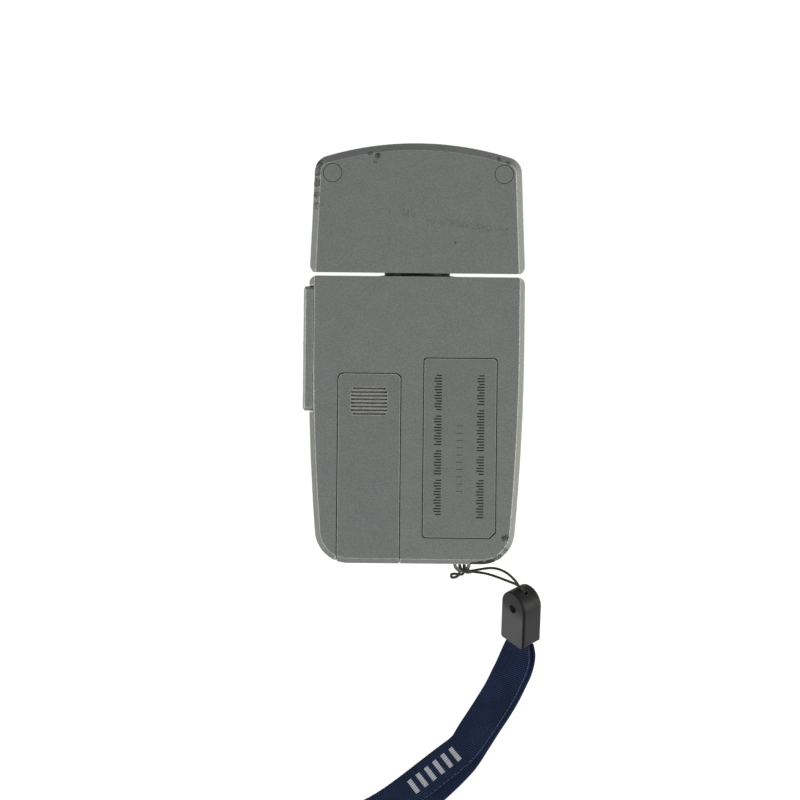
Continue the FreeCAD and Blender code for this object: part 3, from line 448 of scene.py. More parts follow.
PLATE_FACE_Z = 23.95
INK_SINK = 0.05
INK_RISE = 0.02
INK_EDGE = 0.06


def ink_bar(x0, x1, y0, y1):
    """Vertices and faces of a thin bar of ink on the plate, with its outer edge drawn in."""
    inset = min(INK_EDGE, (x1 - x0) / 4, (y1 - y0) / 4)
    corners = []
    for z, d in ((PLATE_FACE_Z - INK_SINK, 0.0), (PLATE_FACE_Z + INK_RISE, inset)):
        corners += [(x0 + d, y0 + d, z), (x1 - d, y0 + d, z), (x1 - d, y1 - d, z), (x0 + d, y1 - d, z)]
    faces = [(3, 2, 1, 0), (4, 5, 6, 7)]
    faces += [(j, (j + 1) % 4, (j + 1) % 4 + 4, j + 4) for j in range(4)]
    return [at(*c) for c in corners], faces


def joined_bars(name, bars):
    """One piece made of all these bars of ink."""
    verts = []
    faces = []
    for sides in bars:
        add_to(verts, faces, ink_bar(*sides))
    piece = new_mesh(name, verts, faces, "case", smooth=False)
    return piece


TICK_PITCH = 0.86
TICK_W = 0.47
TICK_SHORTER = 0.6  # every third tick is this much shorter
GROUP_SPACE = 1.3  # space between groups, in pitches
# column's middle, first and last place along the plate, length of a tick, ticks in each group
PRINTED_COLUMNS = [
    (6.65, -29.7, -72.9, 2.3, (13, 11, 9)),
    (19.6, -29.7, -73.7, 2.3, (11, 15, 7, 14)),
]


def printed_column(x, first_y, last_y, length, groups):
    """Plain ticks in groups, where the real plate has a line of lettering."""
    bars = []
    y = first_y
    turn = 0
    while y > last_y:
        for i in range(groups[turn % len(groups)]):
            if y <= last_y:
                break
            inner = x - length / 2 + (0.0 if i % 3 else TICK_SHORTER)
            bars.append((inner, x + length / 2, y - TICK_W, y))
            y -= TICK_PITCH
        y -= TICK_PITCH * GROUP_SPACE
        turn += 1
    return bars


def make_printing():
    """Both printed columns of the rating plate."""
    bars = []
    for column in PRINTED_COLUMNS:
        bars += printed_column(*column)
    return joined_bars("plate_printing", bars)


STAMPS = 10
STAMP_PITCH = 2.2
STAMP_W = 0.3
STAMP_FROM_Y = -45.0
STAMP_X = (12.3, 14.4)


def make_stamping():
    """The middle column: a plain row of shallow stamped ticks."""
    tops = [STAMP_FROM_Y - i * STAMP_PITCH for i in range(STAMPS)]
    return joined_bars("plate_stamping", [(*STAMP_X, y - STAMP_W, y) for y in tops])


def arc(radius, start, end, steps=24):
    """Points round part of a circle, between two angles in degrees."""
    points = []
    for k in range(steps + 1):
        angle = math.radians(start + (end - start) * k / steps)
        points.append((radius * math.cos(angle), radius * math.sin(angle)))
    return points


def block(x, y, width, height):
    """Corners of an upright rectangle round its middle."""
    return [(x - width / 2, y - height / 2), (x + width / 2, y - height / 2),
            (x + width / 2, y + height / 2), (x - width / 2, y + height / 2)]


KEY_MARK_T = 0.03
# outlines of each sign in mm round the key's middle
KEY_MARKS = {
    "up_key": [[(-1.3, -0.9), (1.3, -0.9), (0.0, 1.2)]],
    "down_key": [[(1.3, 0.9), (-1.3, 0.9), (0.0, -1.2)]],
    "power_key": [arc(1.5, 130, 410) + arc(1.15, 410, 130), block(0.0, 1.3, 0.36, 1.4)],
    "mode_key": [block(0.0, y, 2.6, 0.36) for y in (-0.8, 0.0, 0.8)],
    "iso_key": [arc(1.0, 0, 345)],
}


def thin_plate(outline, middle, z):
    """Vertices and faces of a thin plate at this height, with its outline in mm round the middle."""
    count = len(outline)
    verts = []
    for level in (z - KEY_MARK_T * MM, z + KEY_MARK_T * MM):
        verts += [(middle.x + x * MM, middle.y + y * MM, level) for x, y in outline]
    return verts, rings_to_faces(2, count)


def make_key_marks():
    """A plain printed sign on each key."""
    pieces = []
    for key, outlines in KEY_MARKS.items():
        low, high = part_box(key)
        verts = []
        faces = []
        for outline in outlines:
            add_to(verts, faces, thin_plate(outline, (low + high) / 2, low.z))
        piece = new_mesh(key + "_mark", verts, faces, key + "_cap", smooth=False)
        pieces.append(piece)
    return pieces


# Materials


def linear(*rgb):
    """Screen colour from 0 to 255 to the linear colour that a shader takes."""
    out = []
    for value in rgb:
        c = value / 255
        out.append(c / 12.92 if c <= 0.04045 else ((c + 0.055) / 1.055) ** 2.4)
    return (*out, 1.0)


NOISE_RANGE = (0.3, 0.7)
# sockets of the Mix node when it mixes colours
MIX_SHARE = 0
MIX_FIRST = 6
MIX_SECOND = 7
MIX_COLOUR = 2
# Painted highlight colour for the light line along free edges
PAINTED_EDGE_HIGHLIGHT = linear(236, 237, 233)
# Painted shade colour for gaps and the parting seam
PAINTED_GAP_SHADE = linear(6, 6, 6)
STREAK_DARK = linear(96, 97, 95)
SCUFF_DARK = linear(24, 24, 22)


class Shader:
    """A node material being put together. Settings are plain values on the shader's own sockets."""

    def __init__(self, name, **settings):
        self.material = bpy.data.materials.new(name)
        self.material.use_nodes = True
        self.tree = self.material.node_tree
        self.tree.nodes.clear()
        self.bsdf = self.node("ShaderNodeBsdfPrincipled")
        for key, value in settings.items():
            self.bsdf.inputs[key.replace("_", " ")].default_value = value
        output = self.node("ShaderNodeOutputMaterial")
        self.tree.links.new(self.bsdf.outputs[0], output.inputs[0])
        self.place = self.node("ShaderNodeTexCoord").outputs["Object"]
        self.height = self.node("ShaderNodeSeparateXYZ", {0: self.place}).outputs["Z"]

    def node(self, kind, inputs=None, **props):
        """A new node with these properties, and these values or links on its inputs."""
        made = self.tree.nodes.new(kind)
        for key, value in props.items():
            setattr(made, key, value)
        for key, value in (inputs or {}).items():
            self.put(value, made.inputs[key])
        return made

    def put(self, value, socket):
        """Links a socket to this one, or sets its plain value."""
        if isinstance(value, bpy.types.NodeSocket):
            self.tree.links.new(value, socket)
        else:
            socket.default_value = value

    def set(self, key, value):
        """Gives one of the shader's own inputs its value or link."""
        self.put(value, self.bsdf.inputs[key])

    def math(self, operation, a, b=0.0):
        return self.node("ShaderNodeMath", {0: a, 1: b}, operation=operation).outputs[0]

    def times(self, a, b):
        return self.math("MULTIPLY", a, b)

    def largest(self, values):
        """The largest of several values."""
        found = values[0]
        for value in values[1:]:
            found = self.math("MAXIMUM", found, value)
        return found

    def noise(self, scale, detail=2.0, rough=0.5, place=None):
        inputs = {"Vector": place or self.place, "Scale": scale, "Detail": detail, "Roughness": rough}
        return self.node("ShaderNodeTexNoise", inputs).outputs["Fac"]

    def span(self, value, low, high, out_low=0.0, out_high=1.0):
        """Maps low..high to out_low..out_high, and holds it there."""
        inputs = {"Value": value, "From Min": low, "From Max": high, "To Min": out_low, "To Max": out_high}
        return self.node("ShaderNodeMapRange", inputs, clamp=True).outputs["Result"]

    def spread(self, noise, low=0.0, high=1.0):
        """Maps the usual range of a noise to low..high."""
        return self.span(noise, *NOISE_RANGE, low, high)

    def mix(self, share, a, b, blend="MIX"):
        """Colour a, with this share of colour b over it."""
        inputs = {MIX_SHARE: share, MIX_FIRST: a, MIX_SECOND: b}
        made = self.node("ShaderNodeMix", inputs, data_type="RGBA", blend_type=blend)
        return made.outputs[MIX_COLOUR]

    def shade(self, colour, tone):
        """A colour made lighter or darker by a tone, where 1 leaves it as it is."""
        grey = self.node("ShaderNodeCombineColor", {0: tone, 1: tone, 2: tone}).outputs[0]
        return self.mix(1.0, colour, grey, "MULTIPLY")

    def roughness(self, noise, low, high):
        """Roughness that varies with a noise."""
        self.set("Roughness", self.spread(noise, low, high))

    def bump(self, height, strength, distance):
        """Relief, with its distance in mm."""
        inputs = {"Height": height, "Strength": strength, "Distance": distance * MM}
        self.set("Normal", self.node("ShaderNodeBump", inputs).outputs["Normal"])

    def attribute(self, name):
        return self.node("ShaderNodeAttribute", attribute_name=name).outputs["Fac"]

    def along(self, axis, origin):
        """Distance from the origin along an axis."""
        inputs = {0: self.place, 1: tuple(origin)}
        offset = self.node("ShaderNodeVectorMath", inputs, operation="SUBTRACT").outputs[0]
        made = self.node("ShaderNodeVectorMath", {0: offset, 1: tuple(axis)}, operation="DOT_PRODUCT")
        return made.outputs["Value"]

    def edges(self, radius):
        """1 on the sharp edges of a piece, fading out over the radius."""
        soft = self.node("ShaderNodeBevel", {"Radius": radius}, samples=6).outputs["Normal"]
        flat = self.node("ShaderNodeNewGeometry").outputs["Normal"]
        made = self.node("ShaderNodeVectorMath", {0: soft, 1: flat}, operation="DOT_PRODUCT")
        return self.span(made.outputs["Value"], 0.998, 0.965)

    def openness(self, distance):
        """1 on open faces, less in grooves and gaps."""
        made = self.node("ShaderNodeAmbientOcclusion", {"Distance": distance}, samples=6)
        return made.outputs["AO"]

    def sloped(self):
        """1 on bevels, 0 on upright walls and on faces that are level with the back."""
        normal = self.node("ShaderNodeNewGeometry").outputs["Normal"]
        lift = self.node("ShaderNodeSeparateXYZ", {0: normal}).outputs["Z"]
        return self.times(self.span(lift, 0.9995, 0.99), self.span(lift, 0.1, 0.3))

    def ball(self, centre, reach):
        """1 round a place on the piece, from half the reach on down to 0 at its end."""
        inputs = {0: self.place, 1: tuple(centre)}
        gap = self.node("ShaderNodeVectorMath", inputs, operation="DISTANCE").outputs["Value"]
        return self.span(gap, reach / 2, reach, 1.0, 0.0)


PARTING_Z = 12.0  # height of the seam between the front and back shells

# place in the case's axes, reach in mm, how much of the surface is marked
SCUFFS = [
    ((27.5, -78.9, 24.0), 1.9, 0.33),
    ((27.4, -82.4, 23.0), 1.8, 0.29),
    ((25.2, -85.1, 22.6), 2.4, 0.38),
    ((22.8, -86.4, 22.4), 2.3, 0.60),
    ((20.2, -86.9, 22.3), 2.2, 0.66),
    ((18.0, -87.0, 22.5), 1.7, 0.50),
    ((-29.4, 36.8, 22.8), 2.2, 0.34),
    ((-30.7, 34.4, 23.2), 2.6, 0.40),
    ((-31.0, 31.6, 23.3), 2.6, 0.39),
    ((-31.1, 28.4, 23.3), 2.6, 0.37),
    ((-31.1, 25.0, 23.3), 2.4, 0.34),
    ((-31.1, 21.4, 23.3), 2.2, 0.30),
    ((-14.6, 37.4, 24.0), 1.6, 0.32),
    ((-12.4, 36.4, 24.0), 1.6, 0.34),
    ((-13.2, 34.8, 24.0), 1.1, 0.34),
    ((21.6, 37.2, 23.8), 1.5, 0.29),
    ((24.6, 36.2, 23.8), 1.7, 0.36),
    ((27.4, 34.8, 23.6), 1.6, 0.31),
    ((11.4, 10.3, 24.0), 0.6, 0.28),
]
STREAK_STEP = 1.3
# ends of a faint streak in the case's axes, and its reach in mm
STREAKS = [
    ((-4.5, 19.6, 24.0), (-1.0, 18.4, 24.0), 1.6),
    ((3.0, 17.2, 24.0), (7.2, 16.4, 24.0), 1.2),
    ((8.6, 16.6, 24.0), (21.5, 14.6, 24.0), 2.0),
    ((21.5, 14.4, 24.0), (27.0, 14.6, 24.0), 1.0),
]


def scuff_mask(shader):
    """Dark speckled rubbing at the places where the real case has been knocked."""
    spots = []
    for place, reach, amount in SCUFFS:
        spots.append(shader.times(shader.ball(at(*place), reach * MM), amount))
    patches = shader.span(shader.noise(820, 2.0, 0.5), 0.38, 0.6, -0.1, 0.02)
    speckle = shader.math("ADD", shader.noise(3600, 2.0, 0.65), patches)
    return shader.span(shader.math("ADD", shader.largest(spots), speckle), 0.77, 0.82)


def streak_mask(shader):
    """Faint speckled smudges across the head's back."""
    spots = []
    for start, end, reach in STREAKS:
        first = Vector(start)
        last = Vector(end)
        steps = int((last - first).length / STREAK_STEP) + 2
        for k in range(steps):
            spots.append(shader.ball(at(*first.lerp(last, k / (steps - 1))), reach * MM))
    speckle = shader.times(shader.largest(spots), shader.noise(1500, 2.0, 0.7))
    return shader.times(shader.span(speckle, 0.47, 0.6), 0.5)


def gap_shade_and_edge_highlight(shader, framed):
    """How much painted gap shade each place gets, and how much painted edge highlight along a free edge.

    A framed piece sits in an opening of another one, and keeps the painted highlight along its edges; on
    other pieces the parting seam is painted dark along with the gaps."""
    # Ambient occlusion finds the gaps, which get painted shade, and the open edges, which get the painted
    # highlight
    open_share = shader.openness(0.5 * MM)
    if framed:
        return shader.span(open_share, 0.5, 0.8, 1.0, 0.0), shader.span(open_share, 0.74, 0.86)
    gap = shader.span(open_share, 0.5, 0.85, 1.0, 0.0)
    free = shader.times(shader.span(open_share, 0.8, 0.93), shader.sloped())
    seam = shader.math("ABSOLUTE", shader.math("SUBTRACT", shader.height, PARTING_Z * MM))
    return shader.largest([gap, shader.span(seam, 0.08 * MM, 0.16 * MM, 0.8, 0.0)]), free


def grey_plastic(name, colour, worn=False, framed=False, edge_highlight=0.95):
    """Matte moulded plastic with a fine grain, with a painted highlight along its free edges and painted
    shade in its gaps.
    """
    shader = Shader(name, IOR=1.45, Specular_IOR_Level=0.35)
    grain = shader.noise(2300, 3.0, 0.65)
    cloud = shader.spread(shader.noise(160, 2.0, 0.5), 0.97, 1.03)
    tone = shader.math("ADD", shader.spread(grain, -0.21, 0.21), cloud)
    base = shader.shade(colour, tone)
    gap, free = gap_shade_and_edge_highlight(shader, framed)
    broken = shader.span(shader.noise(700, 2.0, 0.6), 0.35, 0.6, 0.55, 1.0)
    # Painted highlight: a light line along free sharp edges, less on framed pieces
    edge = shader.times(shader.edges((0.4 if framed else 0.6) * MM), shader.times(free, broken))
    base = shader.mix(shader.times(edge, edge_highlight), base, PAINTED_EDGE_HIGHLIGHT)
    # Painted shade: gaps and the parting seam are painted near black
    base = shader.mix(gap, base, PAINTED_GAP_SHADE)
    if worn:
        base = shader.mix(streak_mask(shader), base, STREAK_DARK)
        base = shader.mix(shader.times(scuff_mask(shader), 0.9), base, SCUFF_DARK)
    shader.set("Base Color", base)
    shader.roughness(grain, 0.55, 0.7)
    fine = shader.noise(5200, 2.0, 0.5)
    shader.bump(shader.math("ADD", grain, fine), 0.25, 0.06)
    return shader.material


def dark_plastic(name, colour, rough=0.45, grain_scale=2600, highlight_gain=1.8):
    """Satin plastic with faint moulding marks, and a painted highlight along its sharp edges."""
    shader = Shader(name, IOR=1.48)
    grain = shader.noise(grain_scale, 3.0, 0.6)
    cloud = shader.spread(shader.noise(260, 3.0, 0.6), 0.85, 1.15)
    base = shader.shade(colour, cloud)
    # Painted highlight: a lighter copy of the colour along sharp edges
    light = tuple(min(1.0, c * highlight_gain + 0.01) for c in colour[:3]) + (1.0,)
    base = shader.mix(shader.times(shader.edges(0.2 * MM), 0.6), base, light)
    shader.set("Base Color", base)
    shader.roughness(grain, rough - 0.07, rough + 0.1)
    shader.bump(grain, 0.2, 0.05)
    return shader.material


def clip_plastic(name):
    """The strap end's satin plastic, with painted shade on its side, its top and along its corner, and a
    painted highlight on its edges.
    """
    shader = Shader(name, IOR=1.48, Specular_IOR_Level=0.22)
    foot = at(*CLIP_FOOT)
    grain = shader.noise(1700, 3.0, 0.65)
    half_w = CLIP_HALF_W * MM
    half_d = CLIP_HALF_D * MM
    # Painted shade: the clip's side, its top and its corner are painted darker, as where less light falls
    # on them
    side = shader.span(shader.along(CLIP_WIDTH_AXIS, foot), half_w - 0.75 * MM, half_w - 0.35 * MM)
    shaded_corner = shader.span(shader.along(-CLIP_DEPTH_AXIS, foot), half_d - 1.15 * MM, half_d - 0.5 * MM)
    top = shader.span(shader.along(CLIP_LONG_AXIS, foot), 10.0 * MM, 14.0 * MM)
    base = shader.mix(shader.spread(grain), linear(68, 68, 73), linear(84, 84, 89))
    base = shader.mix(shader.times(top, 0.88), base, linear(25, 27, 33))
    base = shader.mix(shader.times(side, 0.86), base, linear(28, 29, 36))
    edge = shader.times(side, shaded_corner)
    base = shader.mix(shader.times(edge, 0.8), base, linear(17, 17, 18))
    # Painted highlight: a lighter line along sharp edges
    base = shader.mix(shader.times(shader.edges(0.22 * MM), 0.35), base, linear(120, 118, 116))
    shader.set("Base Color", base)
    shader.roughness(grain, 0.5, 0.66)
    shader.bump(grain, 0.25, 0.06)
    return shader.material


def metal(name, colour, rough, brushed=False):
    """Plated metal with fine scratches, or brushed along its length."""
    shader = Shader(name, Metallic=1.0)
    place = shader.place
    if brushed:
        inputs = {"Vector": shader.place, "Scale": (1.0, 0.06, 1.0)}
        place = shader.node("ShaderNodeMapping", inputs).outputs[0]
    marks = shader.noise(3800, 4.0, 0.7, place)
    tone = shader.spread(marks, 0.88, 1.06)
    base = shader.shade(colour, tone)
    shader.set("Base Color", base)
    shader.roughness(marks, rough - 0.06, rough + 0.1)
    shader.bump(marks, 0.12, 0.03)
    return shader.material


def rubber(name, colour, rough=0.7):
    """Dull rubber, nylon or sheathing with a coarse grain."""
    shader = Shader(name, IOR=1.45)
    grain = shader.noise(1900, 4.0, 0.6)
    tone = shader.spread(grain, 0.86, 1.1)
    base = shader.shade(colour, tone)
    shader.set("Base Color", base)
    shader.roughness(grain, rough - 0.08, rough + 0.08)
    shader.bump(grain, 0.3, 0.05)
    return shader.material


def ring_black_behind(name):
    """The pale ring at the neck, painted black on its back side above a ragged line, where it shows in the
    slot.
    """
    shader = Shader(name, IOR=1.5)
    ring_noise = shader.noise(1500, 3.0, 0.6)
    edge = shader.math("ADD", shader.height, shader.spread(ring_noise, -1.5 * MM, 1.5 * MM))
    # Black from about 15 to 18 mm up towards the back, with a ragged edge
    dark_share = shader.span(edge, 15 * MM, 18 * MM)
    shader.set("Base Color", shader.mix(dark_share, linear(236, 234, 226), linear(14, 14, 14)))
    shader.roughness(ring_noise, 0.5, 0.75)
    return shader.material


def opal(name):
    """The white light-collecting dome: translucent moulded plastic."""
    shader = Shader(
        name,
        IOR=1.49,
        Subsurface_Weight=0.35,
        Subsurface_Scale=0.0012,
        Subsurface_Radius=(1.0, 0.9, 0.8),
    )
    cloud = shader.spread(shader.noise(240, 3.0, 0.5))
    shader.set("Base Color", shader.mix(cloud, linear(226, 226, 220), linear(238, 238, 234)))
    shader.roughness(shader.noise(2400), 0.36, 0.5)
    shader.bump(shader.noise(3600), 0.1, 0.03)
    return shader.material


def clear_window(name):
    """The display's clear window, with faint smears."""
    shader = Shader(name, IOR=1.49, Transmission_Weight=0.92)
    smear = shader.noise(420, 4.0, 0.6)
    cloud = shader.span(smear, 0.35, 0.65)
    shader.set("Base Color", shader.mix(cloud, linear(232, 236, 236), linear(246, 248, 248)))
    shader.set("Roughness", shader.span(smear, 0.35, 0.7, 0.04, 0.16))
    return shader.material


def display(name):
    """The display's grey-green glass, with a faint grid of its electrodes."""
    shader = Shader(name, IOR=1.52, Coat_Weight=0.4)
    inputs = {
        "Vector": shader.place,
        "Scale": 300.0,
        "Mortar Size": 0.015,
        "Color1": linear(150, 160, 141),
        "Color2": linear(147, 157, 139),
        "Mortar": linear(134, 145, 127),
    }
    grid = shader.node("ShaderNodeTexBrick", inputs, offset=0.0)
    cloud = shader.spread(shader.noise(120), 0.94, 1.04)
    base = shader.shade(grid.outputs["Color"], cloud)
    shader.set("Base Color", base)
    shader.roughness(shader.noise(500), 0.12, 0.22)
    return shader.material


def filter_glass(name):
    """The light sensor's bluish correction filter."""
    shader = Shader(name, IOR=1.52, Transmission_Weight=0.6)
    cloud = shader.noise(200)
    tone = shader.spread(cloud)
    shader.set("Base Color", shader.mix(tone, linear(150, 190, 200), linear(163, 200, 207)))
    shader.roughness(cloud, 0.05, 0.12)
    return shader.material


def circuit_board(name):
    """Green solder mask over faint tracks."""
    shader = Shader(name, IOR=1.5, Coat_Weight=0.3)
    inputs = {
        "Vector": shader.place,
        "Scale": 220.0,
        "Mortar Size": 0.03,
        "Color1": linear(28, 88, 52),
        "Color2": linear(33, 97, 58),
        "Mortar": linear(60, 128, 84),
    }
    tracks = shader.node("ShaderNodeTexBrick", inputs)
    shader.set("Base Color", tracks.outputs["Color"])
    shader.roughness(shader.noise(900), 0.3, 0.45)
    shader.bump(tracks.outputs["Fac"], 0.3, 0.03)
    return shader.material


def cell_sleeve(name):
    """A plain battery sleeve: slate grey with one pale grey end."""
    shader = Shader(name, Metallic=0.3, Coat_Weight=0.3)
    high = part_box("aa_cell")[1]
    end = shader.along((0.0, 1.0, 0.0), (0.0, high.y - 16 * MM, 0.0))
    band = shader.span(end, 0.0, 0.2 * MM)
    scratch = shader.noise(900, 4.0, 0.7)
    base = shader.mix(band, linear(84, 94, 106), linear(172, 174, 172))
    base = shader.mix(shader.span(scratch, 0.62, 0.7, 0.0, 0.4), base, linear(190, 190, 186))
    shader.set("Base Color", base)
    shader.roughness(scratch, 0.22, 0.4)
    return shader.material


def braid(name):
    """Near-black cord yarn with a few paler fibres."""
    shader = Shader(name, Sheen_Weight=0.25, Sheen_Roughness=0.5)
    fibre = shader.noise(5200, 4.0, 0.7)
    pale = shader.span(fibre, 0.4, 0.75)
    shader.set("Base Color", shader.mix(pale, linear(30, 29, 27), linear(66, 64, 60)))
    shader.roughness(fibre, 0.7, 0.9)
    shader.bump(fibre, 0.4, 0.05)
    return shader.material


WARP_PITCH = 0.66
YARN_PITCH = 0.62
YARN_SLANT = 0.12
# the plain woven bars, along and across the strap
BARS_FROM = 46.1
BARS_TO = 64.25
BAR_PITCH = 3.3
BAR_SHARE = 0.23  # half a bar's width, in pitches
BAR_HALF_LENGTH = 2.4
BAR_SHIFT = 0.2


def woven_bars(shader, along, across, cords):
    """1 on six pale bars woven into the outer side, a little broken by the webbing's ribs."""
    steps = shader.math("PINGPONG", shader.math("SUBTRACT", along, BARS_FROM * MM), BAR_PITCH / 2 * MM)
    reach = shader.math("ABSOLUTE", shader.math("ADD", across, BAR_SHIFT * MM))
    limits = [
        shader.math("GREATER_THAN", along, (BARS_FROM - BAR_PITCH * 0.25) * MM),
        shader.math("LESS_THAN", along, BARS_TO * MM),
        shader.math("LESS_THAN", reach, BAR_HALF_LENGTH * MM),
        shader.attribute("outer"),
        shader.span(cords, -0.9, 0.2, 0.6, 1.0),
    ]
    bar = shader.math("LESS_THAN", steps, BAR_PITCH * BAR_SHARE * MM)
    for limit in limits:
        bar = shader.times(bar, limit)
    return bar


def webbing(name):
    """Navy twill webbing: lengthwise ribs crossed by slanting yarns, with paler flecks and woven bars."""
    shader = Shader(name, Specular_IOR_Level=0.06)
    across = shader.attribute("across")
    along = shader.attribute("along")
    cords = shader.math("SINE", shader.times(across, 2 * math.pi / (WARP_PITCH * MM)))
    slanted = shader.math("ADD", along, shader.times(across, YARN_SLANT))
    yarns = shader.math("SINE", shader.times(slanted, 2 * math.pi / (YARN_PITCH * MM)))
    weave = shader.math("ADD", shader.times(cords, 0.16), shader.times(yarns, 0.34))
    weave = shader.math("ADD", weave, 0.5)
    base = shader.mix(shader.span(weave, 0.1, 0.95), linear(15, 23, 41), linear(51, 65, 103))
    fleck = shader.noise(1700, 3.0, 0.7)
    base = shader.mix(shader.span(fleck, 0.6, 0.76, 0.0, 0.42), base, linear(78, 92, 134))
    fade = shader.noise(120, 2.0, 0.5)
    base = shader.mix(shader.span(fade, 0.35, 0.65, 0.0, 0.3), base, linear(20, 24, 34))
    base = shader.mix(woven_bars(shader, along, across, cords), base, linear(188, 191, 203))
    shader.set("Base Color", base)
    shader.roughness(fleck, 0.75, 0.92)
    shader.bump(weave, 0.5, 0.12)
    return shader.material


def yarn(name, colour):
    """Stitching thread with duller fibres."""
    shader = Shader(name, Sheen_Weight=0.2)
    fibre = shader.noise(4200, 3.0, 0.7)
    dull = tuple(c * 0.6 for c in colour[:3]) + (1.0,)
    shader.set("Base Color", shader.mix(shader.span(fibre, 0.35, 0.65), dull, colour))
    shader.roughness(fibre, 0.7, 0.88)
    shader.bump(fibre, 0.4, 0.05)
    return shader.material


def ink(name, colour):
    """Printed or stamped marks, slightly worn."""
    shader = Shader(name)
    wear = shader.noise(1600, 3.0, 0.6)
    faded = tuple(c * 1.8 + 0.01 for c in colour[:3]) + (1.0,)
    shader.set("Base Color", shader.mix(shader.span(wear, 0.5, 0.75), colour, faded))
    shader.roughness(wear, 0.5, 0.65)
    return shader.material


def paint(piece, material):
    """Gives a piece, or a CAD node by name, this one material."""
    target = frame["nodes"][piece] if isinstance(piece, str) else piece
    target.data.materials.clear()
    target.data.materials.append(material)


CASE_GREY = linear(134, 137, 141)
DOOR_GREY = linear(131, 134, 138)
# Painted light: the bar takes a lighter copy of the case grey, standing in for the light on its top face
BAR_GREY_PAINTED_LIGHT = linear(160, 163, 167)


def paint_cad_nodes():
    """Gives every CAD node its material, and says which material each slot has."""
    case_worn = grey_plastic("case_grey_worn", CASE_GREY, worn=True)
    by_slot = {
        "case_plastic": grey_plastic("case_grey", CASE_GREY),
        "black_plastic": dark_plastic("satin_black", linear(22, 22, 23)),
        "key_plastic": dark_plastic("key_grey", linear(62, 64, 67), rough=0.5),
        "clip_plastic": clip_plastic("clip_grey_painted_shade"),
        "nylon": rubber("pale_nylon", linear(236, 234, 226), rough=0.5),
        "opal_plastic": opal("opal_white"),
        "clear_plastic": clear_window("clear_window"),
        "display_glass": display("display_glass"),
        "optical_glass": filter_glass("filter_glass"),
        "silicone": rubber("silicone", linear(196, 196, 190)),
        "board": circuit_board("solder_mask"),
        "chip": dark_plastic("chip_black", linear(34, 34, 34), rough=0.6),
        "steel": metal("zinc_steel", linear(186, 186, 184), 0.35),
        "contact_metal": metal("nickel_plate", linear(206, 205, 198), 0.25, brushed=True),
        "cell_wrap": cell_sleeve("cell_sleeve"),
        "cable_sheath": rubber("cable_sheath", linear(34, 34, 34)),
    }
    for row in frame["record"]["subparts"]:
        node, slot = row["node"], row["material_slot"]
        if slot in by_slot:
            paint(node, by_slot[slot])
    for node in ("rear_shell", "head_rear_shell"):
        paint(node, case_worn)
    paint("battery_door", grey_plastic("door_grey", DOOR_GREY, framed=True, edge_highlight=0.6))
    paint("rating_plate", grey_plastic("plate_grey", DOOR_GREY, framed=True, edge_highlight=0.4))
    paint("head_screw_plugs", grey_plastic("plug_grey", CASE_GREY, framed=True, edge_highlight=0.15))
    # The bar's lighter grey is painted light on its top face
    paint("measure_bar", grey_plastic("bar_grey_painted_light", BAR_GREY_PAINTED_LIGHT, framed=True))
    paint("neck_shim", ring_black_behind("neck_ring_pale"))
    return by_slot


# Stage

LIGHT_AIM = (0, -25, 12)


def area_light(name, place, size, power, colour):
    """A square softbox aimed at the meter."""
    data = bpy.data.lights.new(name, "AREA")
    data.shape = "SQUARE"
    data.size = size
    data.energy = power
    data.color = colour
    light = bpy.data.objects.new(name, data)
    light.location = place
    aim = at(*LIGHT_AIM) - Vector(place)
    light.rotation_euler = aim.to_track_quat("-Z", "Y").to_euler()
    bpy.context.scene.collection.objects.link(light)


FLOOR_REACH = 3
WORLD_STRENGTH = 0.05
# name, place in metres, size, power, colour
LIGHTS = [
    ("key", (0.1, -0.8, 1.4), 0.8, 9.0, (1.0, 1.0, 1.0)),
    ("from_right", (1.25, -0.1, 0.34), 0.5, 14.2, (1.0, 0.985, 0.8)),
    ("from_left", (-1.25, -0.1, 0.34), 0.5, 8.6, (1.0, 0.985, 0.82)),
]


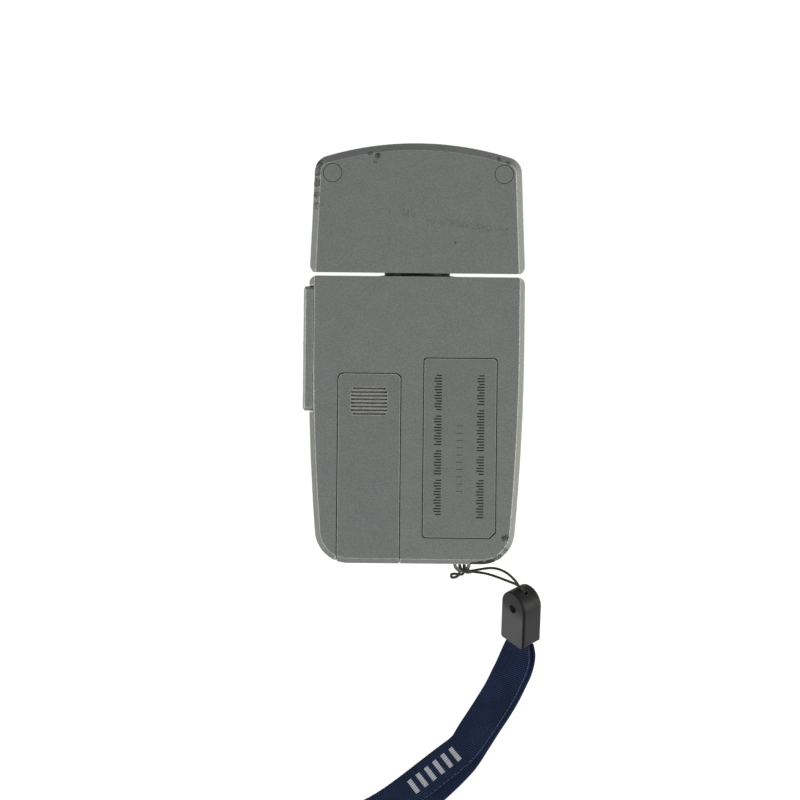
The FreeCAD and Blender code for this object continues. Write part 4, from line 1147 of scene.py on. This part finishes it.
def make_lights():
    """A key light above the foot of the meter, a low warmer one on each side, and a dim white world."""
    world = bpy.data.worlds.new("studio")
    world.use_nodes = True
    background = world.node_tree.nodes["Background"]
    background.inputs["Color"].default_value = (1.0, 1.0, 0.99, 1.0)
    background.inputs["Strength"].default_value = WORLD_STRENGTH
    bpy.context.scene.world = world
    for light in LIGHTS:
        area_light(*light)


def white_floor():
    """A white table lit mostly from below, so that it stays white under the meter."""
    shader = Shader(
        "white_table",
        Roughness=0.9,
        Emission_Color=(1.0, 1.0, 0.985, 1.0),
        Emission_Strength=0.95,
    )
    mottle = shader.spread(shader.noise(3.0, 2.0, 0.5))
    shader.set("Base Color", shader.mix(mottle, (0.28, 0.28, 0.275, 1.0), (0.31, 0.31, 0.305, 1.0)))
    return shader.material


def make_floor():
    """The table, a plane that the meter lies on."""
    mesh = bpy.data.meshes.new("floor")
    corners = [(-FLOOR_REACH, -FLOOR_REACH, 0), (FLOOR_REACH, -FLOOR_REACH, 0)]
    corners += [(FLOOR_REACH, FLOOR_REACH, 0), (-FLOOR_REACH, FLOOR_REACH, 0)]
    mesh.from_pydata(corners, [], [(0, 1, 2, 3)])
    floor = bpy.data.objects.new("floor", mesh)
    bpy.context.scene.collection.objects.link(floor)
    return floor


bpy.context.scene.view_settings.view_transform = "Standard"
make_camera()
cord_piece = make_lanyard_cord()
upper_rows, lower_rows = strap_rows()
strap_piece = make_strap(upper_rows, lower_rows)
selvedge_piece = make_selvedge(upper_rows)
knot_piece = make_knot()
spring_piece = make_spring()
printing_piece = make_printing()
stamping_piece = make_stamping()
key_mark_pieces = make_key_marks()

slots = paint_cad_nodes()
cord_black = braid("cord_yarn")
paint(cord_piece, cord_black)
paint(knot_piece, cord_black)
paint(strap_piece, webbing("navy_webbing"))
paint(selvedge_piece, yarn("pale_thread", linear(74, 88, 128)))
paint(spring_piece, slots["contact_metal"])
paint(printing_piece, ink("plate_ink", linear(9, 10, 13)))
paint(stamping_piece, ink("stamped_ink", linear(70, 72, 70)))
key_ink = ink("key_ink", linear(158, 158, 154))
for key_mark_piece in key_mark_pieces:
    paint(key_mark_piece, key_ink)

floor = make_floor()
floor.data.materials.append(white_floor())
make_lights()
